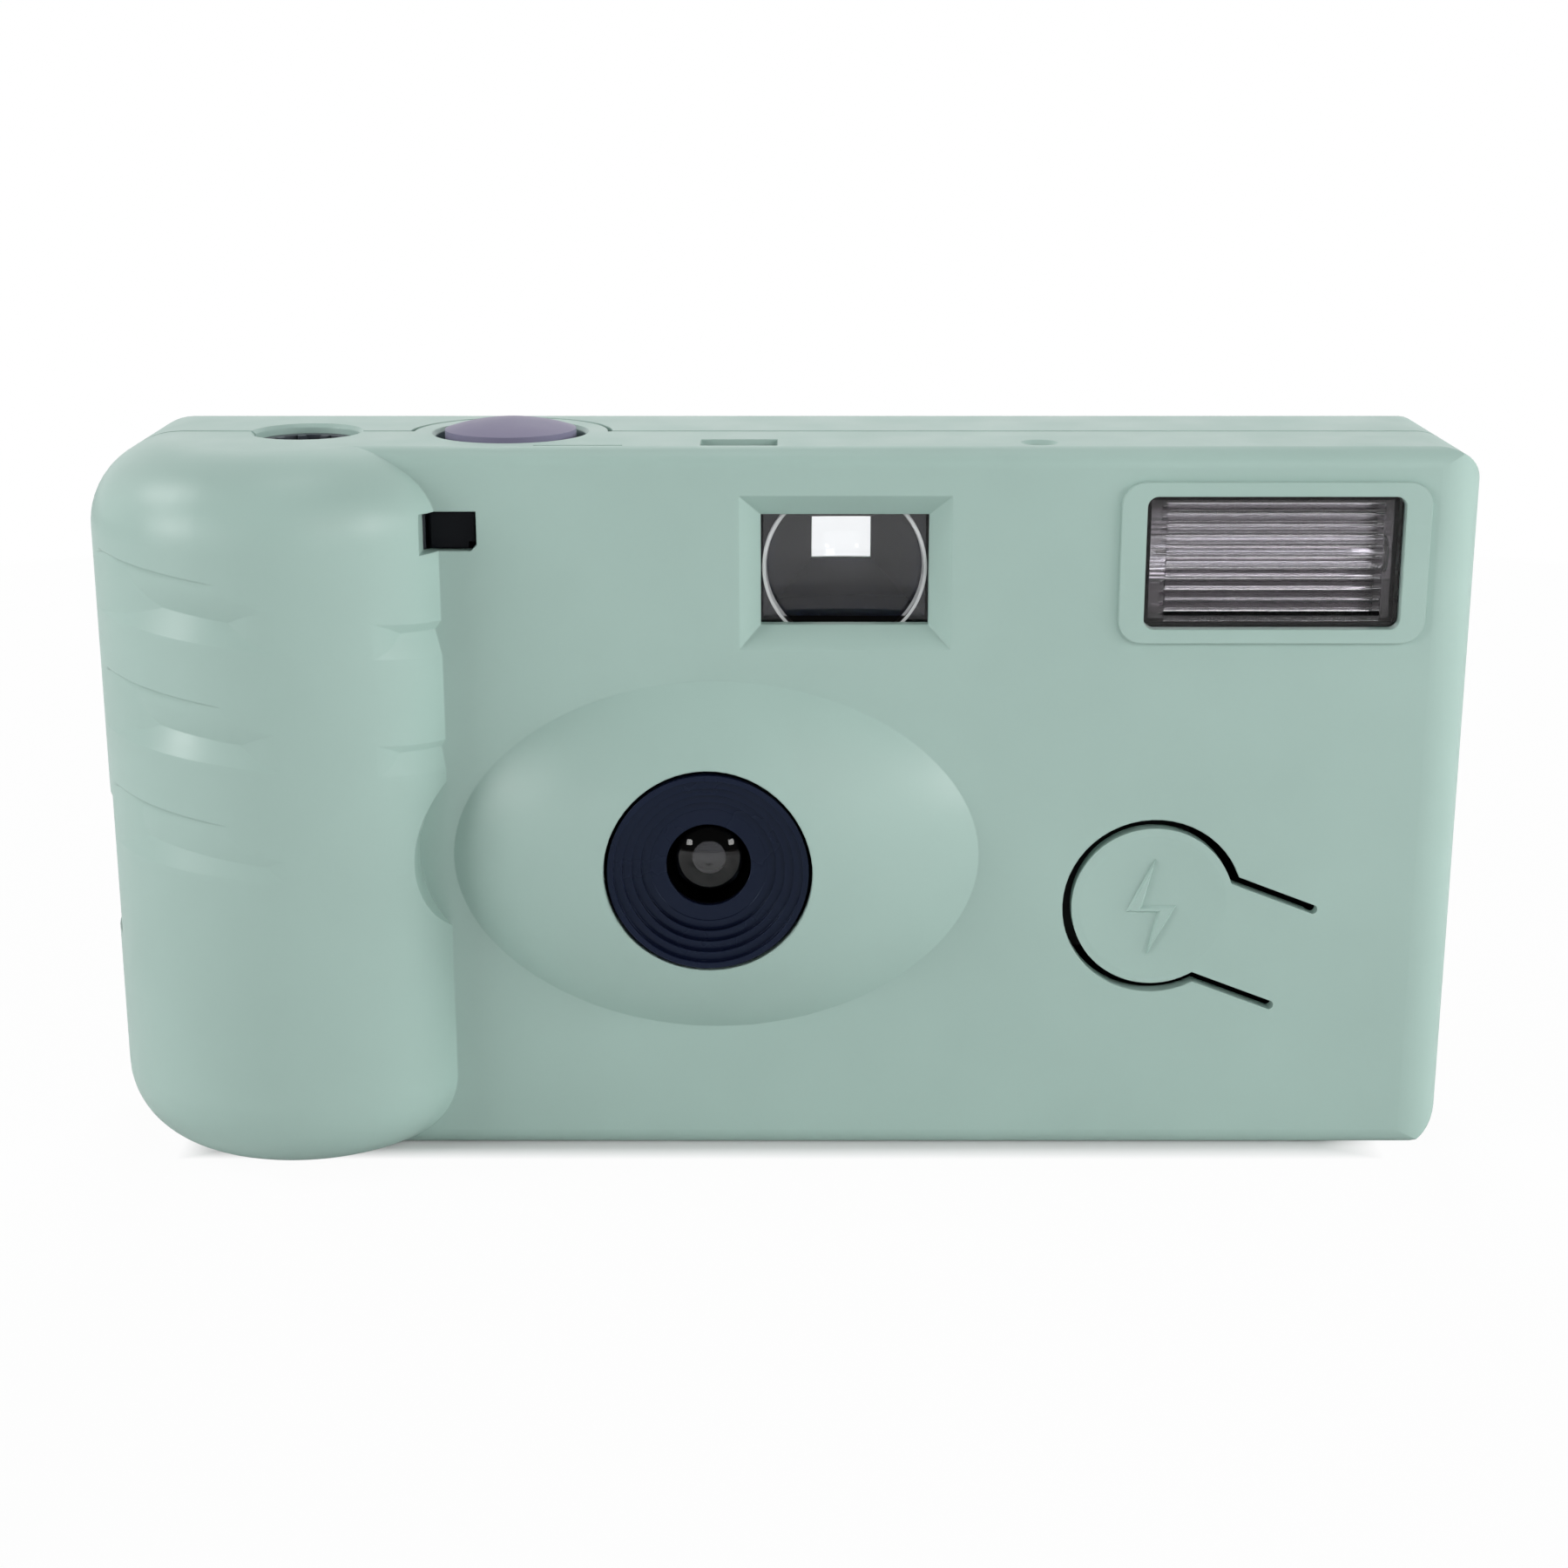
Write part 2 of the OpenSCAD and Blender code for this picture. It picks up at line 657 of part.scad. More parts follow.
module front_cover() {
  plate_half = [flash_w / 2 + flash_border, flash_h / 2 + flash_border - 0.9];
  window_half = [flash_w / 2, flash_h / 2];
  flash_at = [flash_x, flash_z];
  plate_r = 2;
  frame = [vf_w / 2 + vf_bevel, vf_h / 2 + vf_bevel];
  color("#a6c0b8") difference() {
    union() {
      difference() {
        union() {
          difference() {
            intersection() {
              outer_form();
              front_zone(0);
            }
            finger_grooves();
            bar_y(scallop_r, scallop_x, scallop_z, y_grip - eps, y_face);
          }
          oval_form(0, wall / 2);
          along_y(y_face - flash_plate_t, y_face + eps)
            rounded(flash_at - plate_half, flash_at + plate_half, plate_r * [1, 1, 1, 1]);
        }
        inner_form();
        oval_form(wall, wall + eps);
      }
      // Collar that carries the viewfinder
      intersection() {
        block([vf_x - frame[0] - collar_t, y_face + eps, vf_z - frame[1] - collar_t],
          [vf_x + frame[0] + collar_t, collar_y1, vf_z + frame[1] + collar_t]);
        main_form(wall / 2);
      }
    }
    bar_y(bezel_r + loose_gap, lens_x, lens_z, y_face - oval_h - 1, y_face + wall + 1);
    // Viewfinder frame
    tapered_box(vf_x, vf_z, y_face - vf_bevel_d, frame + [vf_bevel, vf_bevel],
      y_face + vf_bevel_d, [vf_w / 2, vf_h / 2]);
    block([vf_x - vf_w / 2, y_face, vf_z - vf_h / 2], [vf_x + vf_w / 2, y_in_front + 9, vf_z + vf_h / 2]);
    // Flash window
    along_y(y_face - 2, y_in_front + 1)
      rounded(flash_at - window_half, flash_at + window_half, flash_corner_r * [1, 1, 1, 1]);
    // Slot of the flash button
    along_y(y_face - 1, y_in_front + eps) tongue_outline(tongue_slot);
    root_groove();
    // Openings that show the catches inside
    along_y(y_grip, y_in_front + eps) polygon([
      [latch[0][0], latch[1][0]], [latch[0][1] - latch_chamfer, latch[1][0]],
      [latch[0][1], latch[1][0] + latch_chamfer], [latch[0][1], latch[1][1]], [latch[0][0], latch[1][1]]]);
    block([-half_w - 1, side_latch_y[0], side_latch_z[0]], [-half_w + 3, side_latch_y[1], side_latch_z[1]]);
    // Top: hub, shutter button, counter and ready lamp
    bar_z(hub_hole_r, hub_x, hub_y, z_in_top - eps, body_h + 1);
    mouth(hub_hole_r, hub_x, hub_y);
    bar_z(button_hole_r, button_x, button_y, z_in_top - eps, body_h + 1);
    mouth(button_hole_r, button_x, button_y);
    block([line_x[0], line_y - line_w / 2, body_h - line_d], [line_x[1], line_y + line_w / 2, body_h + 1]);
    block([counter_x - counter_w / 2, counter_y - counter_d / 2, z_in_top - eps],
      [counter_x + counter_w / 2, counter_y + counter_d / 2, body_h + 1]);
    bar_z(lamp_hole_r, lamp_x, lamp_y, z_in_top - eps, body_h + 1);
    translate([lamp_x, lamp_y, body_h - lamp_sink_d])
      cylinder(r1 = lamp_hole_r, r2 = lamp_sink_r, h = lamp_sink_d + 0.01);
    winder_room();
  }
}

module rear_cover() {
  eyepiece_half = [eyepiece_w / 2, eyepiece_h / 2];
  bevel = [eyepiece_bevel, eyepiece_bevel];
  hook_x = -half_w + wall + 0.4;
  hook_bite = 0.9;
  color("#9fb8b0") {
    difference() {
      outer_form();
      inner_form();
      front_zone(seam_gap);
      bar_z(hub_hole_r, hub_x, hub_y, z_in_top - eps, body_h + 1);
      mouth(hub_hole_r, hub_x, hub_y);
      winder_room();
      // Slot for the advance wheel's rim, in a hollow for the thumb
      block([hub_x - wheel_slot_hw, y_back - rear_edge_r, wheel_z0 - wheel_gap],
        [hub_x + wheel_slot_hw, y_back + 1, wheel_z1 + wheel_gap - 0.05]);
      translate([hub_x, y_back, wheel_z0 + wheel_t / 2]) oval_cap(thumb_hw, thumb_hh, thumb_d, 0, 1);
      // Eyepiece with a sloping frame
      tapered_box(vf_x, vf_z, y_back - eyepiece_bevel, eyepiece_half,
        y_back + eyepiece_bevel, eyepiece_half + 2 * bevel);
      block([vf_x - eyepiece_w / 2, y_in_back - 1, vf_z - eyepiece_h / 2],
        [vf_x + eyepiece_w / 2, y_back + 1, vf_z + eyepiece_h / 2]);
    }
    // Pad that keeps the film flat
    block([lens_x - frame_w / 2 - 1, film_y + film_t / 2 + 0.25, lens_z - frame_h / 2 - 2],
      [lens_x + frame_w / 2 + 1, y_in_back + eps, lens_z + frame_h / 2 + 2]);
    // Catch at the grip's side
    block([hook_x - hook_bite + 0.1, y_seam + seam_gap, hook_z[0]],
      [hook_x + hook_t, y_seam + hook_root, hook_z[1]]);
    block([hook_x, side_latch_y[0] + hook_bite, hook_z[0]],
      [hook_x + hook_t, y_seam + hook_root, hook_z[1]]);
    block([hook_x - hook_bite, side_latch_y[0] + hook_bite + hook_t, hook_z[0]],
      [hook_x + eps, side_latch_y[1] - latch_gap, hook_z[1]]);
  }
}

// Inner frame that carries the film, the shutter and the flash
module film_chassis() {
  gate_x0 = lip_x1 + loose_gap;
  gate_x1 = feed_x - feed_out_r + 1.5;
  deck_split_x = board_x0 - 0.6;
  plate_half = 6;
  pillar_r = 2;
  pillar_z0 = lens_z + 9;
  peg_r = 0.6;
  pin_head = 2;
  box_front = [5.5, 4.5];
  box_rear = [frame_w / 2, frame_h / 2];
  skin = [box_t, box_t];
  bay_x0 = battery_x0 - contact_spring_l - contact_t;
  bay_z1 = battery_z + battery_r;
  color("#23262b") difference() {
    union() {
      // Gate, light box and its front wall
      block([gate_x0, gate_y0, floor_z1], [gate_x1, gate_y1, deck_z1]);
      tapered_box(lens_x, lens_z, box_y0, box_front + skin, gate_y0 + 2 * lap, box_rear + skin);
      block([lens_x - box_wall_hw, box_y0, box_wall_z0],
        [lens_x + box_wall_hw, box_y0 + box_t, box_wall_z1]);
      // Deck over the film
      block([hub_x + chamber_r + 2 * lap, box_y0 + eps, deck_z0], [deck_split_x, gate_y1, deck_z1]);
      block([deck_split_x - eps, board_y1 + loose_gap, deck_z0], [feed_x, gate_y1, deck_z1]);
      // Cartridge chamber: wall beside the light box, and a bearing plate on top
      translate([hub_x, hub_y, floor_z1 + 1]) rotate([0, 0, -20]) rotate_extrude(angle = 60)
        translate([chamber_r, 0]) square([chamber_t, bearing_z0 + bearing_t / 2 - floor_z1 - 1]);
      intersection() {
        bar_z(chamber_r + chamber_t / 2, hub_x, hub_y, bearing_z0, bearing_z0 + bearing_t);
        block([hub_x - plate_half, hub_y - plate_half, 0], [hub_x + far, hub_y + plate_half, body_h]);
      }
      // Feed chamber with its two end plates
      translate([feed_x, feed_y, floor_z1]) rotate([0, 0, 180]) rotate_extrude(angle = 220)
        translate([feed_in_r, 0]) square([feed_out_r - feed_in_r, deck_z1 - floor_z1]);
      intersection() {
        union() {
          bar_z(feed_out_r, feed_x, feed_y, floor_z1 - chamber_t, floor_z1 + lap);
          bar_z(feed_out_r, feed_x, feed_y, deck_z0, deck_z1);
        }
        block([0, -far, 0], [half_w, gate_y1, body_h]);
      }
      // Ends of the battery bay
      for (x = [bay_x0 - bay_t, battery_x1 + contact_t]) {
        block([x, y_in_front + blade_gap, wall + loose_gap],
          [x + bay_t, battery_y + battery_r + bay_t, bay_z1]);
        block([x, battery_y, floor_z1], [x + bay_t, gate_y0 + 0.4, bay_z1]);
      }
      // Guide of the shutter button's stem
      bar_z(guide_r, button_x, button_y, deck_z0, guide_z1);
      // Post of the counter dial
      bar_z(dial_post_r, dial_x, dial_y, deck_z0, dial_z0 - lap);
      bar_z(dial_pin_r, dial_x, dial_y, dial_z0 - eps, dial_z1);
      // Sprocket's lower bearing
      bar_z(pillar_r, sprocket_x, sprocket_y, pillar_z0, sprocket_z - sprocket_t / 2 - loose_gap);
      // Pins of the shutter lever and the shutter blade
      bar_z(lever_pin_r, lever_x, lever_y, deck_z0, lever_z0 + lever_t + pin_head);
      bar_y(pin_r, blade_pivot[0], blade_pivot[1], holder_y1 + 0.1, box_y0 + eps);
      bar_y(peg_r, blade_ear_x, spring_peg_z, blade_y0, box_y0 + eps);
      // Catch in the small opening beside the grip, clear of the advance wheel
      difference() {
        block([catch_x0, y_face + latch_recess, latch[1][0] + latch_gap],
          [latch[0][1] - latch_gap, catch_y1, latch[1][1] - latch_gap]);
        bar_z(wheel_r + wheel_gap, hub_x, hub_y, 0, body_h);
        block([latch[0][1] - latch_gap - latch_chamfer, y_grip, 0],
          [latch[0][1], y_in_front + loose_gap, latch[1][0] + latch_gap + latch_chamfer]);
      }
      block([catch_stem_x0, y_in_front + loose_gap, deck_z0],
        [latch[0][1] - latch_gap, catch_y1, latch[1][1] - latch_gap]);
      block([latch[0][1] - latch_gap - catch_foot_w, y_in_front + loose_gap, deck_z0],
        [latch[0][1] - latch_gap, box_y0 + 2, deck_z1]);
    }
    tapered_box(lens_x, lens_z, box_y0 + box_t, box_front, gate_y1 + 0.1, box_rear);
    bar_y(box_hole_r, lens_x, lens_z, box_y0 - eps, box_y0 + 2 * box_t);
    // Window for the sprocket's teeth
    block([sprocket_x - tooth_room[0], gate_y0 - eps, sprocket_z - tooth_room[1]],
      [sprocket_x + tooth_room[0], gate_y1 + eps, sprocket_z + tooth_room[1]]);
    bar_z(shaft_r + shaft_gap, sprocket_x, sprocket_y, sprocket_z - 3, deck_z1 + eps);
    bar_z(stem_r + shaft_gap, button_x, button_y, deck_z0 - eps, guide_z1 + eps);
    bar_z(drive_r + shaft_gap, hub_x, hub_y, bearing_z0 - eps, bearing_z0 + bearing_t + eps);
    bar_z(feed_pin_r + shaft_gap, feed_x, feed_y, floor_z1 - 2, deck_z1 + eps);
  }
}

// Stepped funnel in front of the lens, turned about the lens axis
module lens_bezel() {
  rim = 0.5;
  lip = 0.6;
  floor_t = 0.5;
  bore_r = lens_r - lens_lip;
  step = (bezel_r - rim - bore_r - lip) / funnel_steps;
  drop = funnel_d / funnel_steps;
  color("#1d222c") translate([lens_x, bezel_y1, lens_z]) rotate([90, 0, 0]) rotate_extrude() difference() {
    translate([bore_r, 0]) square([bezel_r - bore_r, funnel_d]);
    for (i = [0:funnel_steps - 1])
      translate([0, funnel_d - (i + 1) * drop + (i == funnel_steps - 1 ? floor_t : 0)])
        square([bezel_r - rim - i * step, drop + eps]);
  }
}

module taking_lens() {
  ball_r = 7;
  edge_t = 1;
  color("#c9d3dc", 0.5) translate([lens_x, lens_y1, lens_z]) rotate([90, 0, 0]) {
    cylinder(r = lens_r, h = edge_t);
    translate([0, 0, edge_t - 0.01]) intersection() {
      cylinder(r = lens_r - lens_lip, h = lens_r);
      translate([0, 0, -sqrt(ball_r * ball_r - lens_r * lens_r)]) sphere(r = ball_r);
    }
  }
}

// Plate with the aperture, and the barrel that holds the lens
module lens_holder() {
  barrel_t = 1.1;
  post_r = 1.3;
  color("#2a2d33") difference() {
    union() {
      bar_y(holder_r, lens_x, lens_z, holder_y0, holder_y1);
      bar_y(lens_r + barrel_t, lens_x, lens_z, barrel_y0, holder_y1);
      for (p = holder_posts) bar_y(post_r, p[0], p[1], holder_y0, box_y0);
    }
    bar_y(lens_r + shaft_gap, lens_x, lens_z, barrel_y0 - eps, holder_y0);
    bar_y(aperture_r, lens_x, lens_z, holder_y0 - eps, holder_y1 + eps);
  }
}

// Flat bar of a lever, between two points
module lever_bar(from, to, w) {
  run = to - from;
  translate(from) rotate(atan2(run[1], run[0])) translate([0, -w / 2]) square([norm(run), w]);
}

module shutter_blade() {
  cover_r = box_hole_r + 1.2;
  hub_round = 2.3;
  arm_w = 3;
  tail_w = 2.2;
  ear = [blade_ear_x - blade_pivot[0] + 0.7, 1.6];
  color("#3a3d42") along_y(blade_y0, blade_y1) difference() {
    union() {
      translate([lens_x, lens_z]) circle(r = cover_r);
      translate(blade_pivot) circle(r = hub_round);
      lever_bar([lens_x, lens_z], blade_pivot, arm_w);
      lever_bar(blade_pivot, blade_tip, tail_w);
      translate([blade_pivot[0], blade_pivot[1] - 2 * lap]) square(ear);
    }
    translate(blade_pivot) circle(r = pin_r + shaft_gap);
  }
}

module shutter_spring() {
  spring_r = 0.4;
  color("silver") bar_z(spring_r, blade_ear_x, (blade_y0 + blade_y1) / 2,
    blade_pivot[1] + 1.5, spring_peg_z - 0.7);
}

module shutter_lever() {
  finger_w = 1;
  arm_w = 1.4;
  tail = [-5.4, 2.6];
  tail_w = 1.6;
  tip = [lever_x - lever_l * sin(lever_angle), lever_y - lever_l * cos(lever_angle)];
  color("#b9bcc0") {
    along_z(lever_z0, lever_z0 + lever_t) difference() {
      union() {
        translate([lever_x, lever_y]) circle(r = lever_hub_r);
        lever_bar([lever_x, lever_y], tip, arm_w);
        lever_bar([lever_x, lever_y], [lever_x, lever_y] + tail, tail_w);
      }
      translate([lever_x, lever_y]) circle(r = lever_pin_r + shaft_gap);
    }
    // Finger that strikes the blade
    block([tip[0] - finger_w / 2, blade_y0 - 0.05, blade_tip[1] - 1.2],
      [tip[0] + finger_w / 2, blade_y1, lever_z0 + lever_t]);
  }
}

module lever_spring() {
  coil_h = 1.6;
  color("silver") translate([0, 0, lever_z0 + lever_t + shaft_gap]) difference() {
    bar_z(lever_hub_r, lever_x, lever_y, 0, coil_h);
    bar_z(lever_pin_r + 2 * shaft_gap, lever_x, lever_y, -eps, coil_h + eps);
  }
}

// Clear plate with a round hollow
module viewfinder_front_lens() {
  ball_r = 26;
  hollow_d = 0.9;
  edge = 0.5;
  color("#d7dde2", 0.4) difference() {
    block([vf_x - vf_w / 2 - edge, collar_y1, vf_z - vf_h / 2 - edge],
      [vf_x + vf_w / 2 + edge, collar_y1 + vf_lens_t, vf_z + vf_h / 2 + edge]);
    translate([vf_x, collar_y1 + hollow_d - ball_r, vf_z]) sphere(r = ball_r, $fn = 240);
  }
}

module viewfinder_tunnel() {
  front = [vf_w / 2 - 0.2, vf_h / 2 - 0.2];
  rear = [eyepiece_w / 2, eyepiece_h / 2];
  skin = [vf_tunnel_t, vf_tunnel_t];
  color("#1b1d22") difference() {
    tapered_box(vf_x, vf_z, vf_tunnel_y0, front + skin, eyepiece_y0, rear + skin);
    tapered_box(vf_x, vf_z, vf_tunnel_y0, front, eyepiece_y0, rear);
  }
}

module viewfinder_eyepiece() {
  ball_r = 14;
  bulge = 0.9;
  edge = 0.6;
  plug = [eyepiece_w / 2 - lap, eyepiece_h / 2 - lap];
  color("#d7dde2", 0.4) {
    block([vf_x - eyepiece_w / 2 - edge, eyepiece_y0, vf_z - eyepiece_h / 2 - edge],
      [vf_x + eyepiece_w / 2 + edge, y_in_back, vf_z + eyepiece_h / 2 + edge]);
    intersection() {
      block([vf_x - plug[0], y_in_back - lap, vf_z - plug[1]], [vf_x + plug[0], y_back, vf_z + plug[1]]);
      translate([vf_x, y_in_back + bulge - ball_r, vf_z]) sphere(r = ball_r, $fn = 240);
    }
  }
}

module shutter_button() {
  ball_r = (button_r * button_r + button_crown * button_crown) / (2 * button_crown);
  color("#908e9e") {
    bar_z(button_r, button_x, button_y, button_z0, button_z1);
    translate([button_x, button_y, 0]) intersection() {
      bar_z(button_r, 0, 0, button_z1 - 0.01, body_h + 5);
      translate([0, 0, button_z1 + button_crown - ball_r]) sphere(r = ball_r, $fn = 128);
    }
    bar_z(stem_r, button_x, button_y, stem_z0, button_z0 + 0.1);
  }
}

module button_spring() {
  color("silver") difference() {
    bar_z(button_spring_r, button_x, button_y, guide_z1, button_z0);
    bar_z(stem_r + 0.2, button_x, button_y, guide_z1 - eps, button_z0 + eps);
  }
}

// Ribbed wheel, its hollow hub in the top hole, and the fork that turns the cartridge's spool
module advance_wheel() {
  rib_h = 0.5;
  flutes = 10;
  flute = [1, 0.7];
  cup_r = hub_r - 0.9;
  cup_floor = 0.8;
  key_gap = 0.15;
  color("#3c4149") {
    difference() {
      union() {
        translate([hub_x, hub_y, 0]) along_z(wheel_z0, wheel_z1)
          polygon([for (i = [0:2 * wheel_ribs - 1])
            (wheel_r - (i % 2) * rib_h) * [cos(180 * i / wheel_ribs), sin(180 * i / wheel_ribs)]]);
        bar_z(hub_r, hub_x, hub_y, wheel_z1 - 0.1, hub_top_z);
      }
      // Fluted cup of the hub
      translate([hub_x, hub_y, 0]) along_z(wheel_z0 + cup_floor, hub_top_z + 1) difference() {
        circle(r = cup_r);
        for (i = [1:flutes]) rotate(360 * i / flutes) translate([cup_r, 0]) square(flute, center = true);
      }
    }
    difference() {
      union() {
        bar_z(drive_r, hub_x, hub_y, bearing_z0 - 0.1, wheel_z0 + 0.1);
        bar_z(fork_r, hub_x, hub_y, key_z0, bearing_z0);
      }
      block([hub_x - drive_r, hub_y - key_t / 2 - key_gap, key_z0 - eps],
        [hub_x + drive_r, hub_y + key_t / 2 + key_gap, key_z1 + key_gap]);
    }
  }
}

module cartridge_shell() {
  skin = 0.4;
  lip_half = 0.7;
  mouth_half = film_t / 2 + 0.1;
  color("#c8a93c") difference() {
    union() {
      bar_z(cartridge_r, hub_x, hub_y, cartridge_z0, cartridge_z1);
      // Light trap that the film leaves through
      block([hub_x + 3, film_y - lip_half, film_z0 - 0.4], [lip_x1, film_y + lip_half, film_z1 + 0.4]);
    }
    bar_z(cartridge_r - skin, hub_x, hub_y, cartridge_z0 + cap_t, cartridge_z1 - cap_t);
    bar_z(spool_stub_r + 0.1, hub_x, hub_y, cartridge_z0 - eps, cartridge_z1 + eps);
    block([hub_x, film_y - mouth_half, film_z0 - 0.2], [lip_x1 + eps, film_y + mouth_half, film_z1 + 0.2]);
  }
}

module cartridge_spool() {
  core_r = 5;
  flange_r = cartridge_r - 1;
  flange_t = 0.8;
  inner_z = [cartridge_z0 + cap_t + 0.2, cartridge_z1 - cap_t - 0.2];
  color("#2b2b2e") {
    difference() {
      union() {
        bar_z(core_r, hub_x, hub_y, inner_z[0], inner_z[1]);
        bar_z(spool_stub_r, hub_x, hub_y, wall + loose_gap, cartridge_z1 + 0.2);
        for (z = [inner_z[0], inner_z[1] - flange_t]) bar_z(flange_r, hub_x, hub_y, z, z + flange_t);
      }
      bar_z(spool_bore_r, hub_x, hub_y, key_z0 - 1, cartridge_z1 + 1);
    }
    block([hub_x - spool_bore_r - 0.3, hub_y - key_t / 2, key_z0],
      [hub_x + spool_bore_r + 0.3, hub_y + key_t / 2, key_z1]);
  }
}

// Film between the two rolls, perforated along both edges
module film_strip() {
  x1 = feed_x - 1;
  hole = [2, 2, 2.8];
  hole_inset = 3.3;
  first_x = lip_x1 + 2.5;
  count = floor((x1 - first_x - hole[0]) / perf_pitch);
  color("#6b5a4a") difference() {
    block([lip_x1, film_y - film_t / 2, film_z0], [x1, film_y + film_t / 2, film_z1]);
    for (i = [0:count]) for (z = [film_z0 + hole_inset, film_z1 - hole_inset])
      translate([first_x + i * perf_pitch, film_y, z]) cube(hole, center = true);
  }
}

module feed_spool() {
  flange_t = 0.4;
  end = flange_t + lap;
  color("#34373c") {
    bar_z(feed_core_r, feed_x, feed_y, film_z0 - end, film_z1 + end);
    for (z = [film_z0 - end, film_z1 + lap]) bar_z(feed_r, feed_x, feed_y, z, z + flange_t);
    bar_z(feed_pin_r, feed_x, feed_y, floor_z1 - 0.9, deck_z1);
  }
}

module film_roll() {
  color("#5d4e40") difference() {
    bar_z(roll_r, feed_x, feed_y, film_z0, film_z1);
    bar_z(feed_core_r + shaft_gap, feed_x, feed_y, film_z0 - eps, film_z1 + eps);
  }
}

// Toothed wheel turned by the film, and the finger that steps the counter
module sprocket() {
  color("#d9d4c6") {
    translate([sprocket_x, sprocket_y, 0]) {
      along_z(sprocket_z - sprocket_t / 2, sprocket_z + sprocket_t / 2) {
        circle(r = sprocket_r);
        for (i = [1:sprocket_teeth]) rotate(360 * (i + 0.5) / sprocket_teeth)
          translate([sprocket_r - tooth_h, -tooth_w / 2]) square([2 * tooth_h, tooth_w]);
      }
      along_z(dial_z0, dial_z1) translate([-finger_l, -finger_w / 2]) square([finger_l, finger_w]);
    }
    bar_z(shaft_r, sprocket_x, sprocket_y, sprocket_z - 2.5, dial_z1);
  }
}

module counter_dial() {
  notch = 0.35;
  color("#f0efe8") translate([dial_x, dial_y, 0]) along_z(dial_z0, dial_z1) difference() {
    polygon([for (i = [0:2 * dial_notches - 1])
      (dial_r - (i % 2) * notch) * [cos(180 * i / dial_notches), sin(180 * i / dial_notches)]]);
    circle(r = dial_pin_r + shaft_gap);
  }
}

module counter_window() {
  pane_edge = 0.5;
  fit = 0.05;
  color("#e3e8ea", 0.5) {
    block([counter_x - counter_w / 2 - pane_edge, counter_y - counter_d / 2 - 0.2, z_in_top - pane_t],
      [counter_x + counter_w / 2 + pane_edge, counter_y + counter_d / 2 + pane_edge, z_in_top]);
    block([counter_x - counter_w / 2 + fit, counter_y - counter_d / 2 + fit, z_in_top - lap],
      [counter_x + counter_w / 2 - fit, counter_y + counter_d / 2 - fit, body_h - pane_t]);
  }
}

// Springy tongue of the front cover, with a hollow for the fingertip
module flash_button() {
  dish_r = tongue_r - 0.7;
  ball_r = (dish_r * dish_r + dish_d * dish_d) / (2 * dish_d);
  color("#a6c0b8") difference() {
    along_y(y_face, y_in_front) tongue_outline(0);
    translate([tongue_x, y_face + dish_d - ball_r, tongue_z]) sphere(r = ball_r, $fn = 128);
    root_groove();
  }
}

// Clear window with level ribs
module flash_lens() {
  plug = [flash_w / 2 - flash_lens_gap, flash_h / 2 - flash_lens_gap];
  flange = plug + [flash_flange, flash_flange / 2];
  flash_at = [flash_x, flash_z];
  front_y = y_face + 0.3;
  rib_end = 1.6;
  pitch = (flash_h - 1.2) / rib_count;
  color("#cfd4d8", 0.5) {
    along_y(y_in_front, y_in_front + flash_flange_t) translate(flash_at - flange) square(2 * flange);
    along_y(front_y, y_in_front + 0.1)
      rounded(flash_at - plug, flash_at + plug, (flash_corner_r - flash_lens_gap) * [1, 1, 1, 1]);
    along_x(flash_x - plug[0] + rib_end, flash_x + plug[0] - rib_end) intersection() {
      for (i = [0:rib_count - 1]) translate([front_y, flash_z + (i - (rib_count - 1) / 2) * pitch])
        circle(r = pitch / 2, $fn = 24);
      translate([front_y - pitch, flash_z - flash_h / 2]) square([pitch + 0.1, flash_h]);
    }
  }
}

// Trough with two end walls
module flash_reflector() {
  color("#dfe2e6") {
    difference() {
      bar_x(reflector_r, reflector_y, flash_z, flash_x - reflector_hw, flash_x + reflector_hw);
      bar_x(reflector_r - reflector_t, reflector_y, flash_z,
        flash_x - reflector_hw + reflector_t, flash_x + reflector_hw - reflector_t);
      block([flash_x - far, reflector_y - far, flash_z - far], [flash_x + far, reflector_y, flash_z + far]);
      bar_x(tube_r + 0.1, tube_y, flash_z, flash_x - far, flash_x + far);
    }
  }
}

module flash_tube() {
  cap_l = 2.2;
  glass_hl = tube_hl - cap_l + 0.2;
  color("#e9eef2", 0.6) bar_x(tube_r - 0.1, tube_y, flash_z, flash_x - glass_hl, flash_x + glass_hl);
  color("silver") for (x = [flash_x - tube_hl, flash_x + tube_hl - cap_l])
    bar_x(tube_r, tube_y, flash_z, x, x + cap_l);
}

module flash_board() {
  color("#a98c4c") {
    block([board_x0, board_y0, board_z0], [board_x1, board_y1, deck_z0 - 0.4]);
    block([board_x0, board_y0, deck_z0 - 1], [board_tab_x1, board_y1, board_tab_z1]);
  }
}

module flash_capacitor() {
  z0 = board_z0 + capacitor_lift;
  color("#26292f") bar_z(capacitor_r, board_x0 + capacitor_edge + capacitor_r, board_y1 + 0.2 + capacitor_r,
    z0, z0 + capacitor_l);
}

// Wound core with its two end cheeks
module flash_transformer() {
  size = transformer_size;
  low = [board_x1 - transformer_edge - size[0], board_y1, board_z0 + transformer_lift];
  winding = [winding_inset, 0, cheek_t - 0.3];
  color("#c9a24a") block(low + winding, low + size - winding - [0, winding_inset, 0]);
  color("#3b3b3b") for (z = [0, size[2] - cheek_t])
    block(low + [0, 0, z], low + [size[0], size[1], z + cheek_t]);
}

module trigger_coil() {
  z0 = board_z0 + coil_lift;
  color("#7a3d2c") bar_z(coil_r, board_x1 - coil_edge - coil_r, board_y1 + 0.1 + coil_r, z0, z0 + coil_l);
}

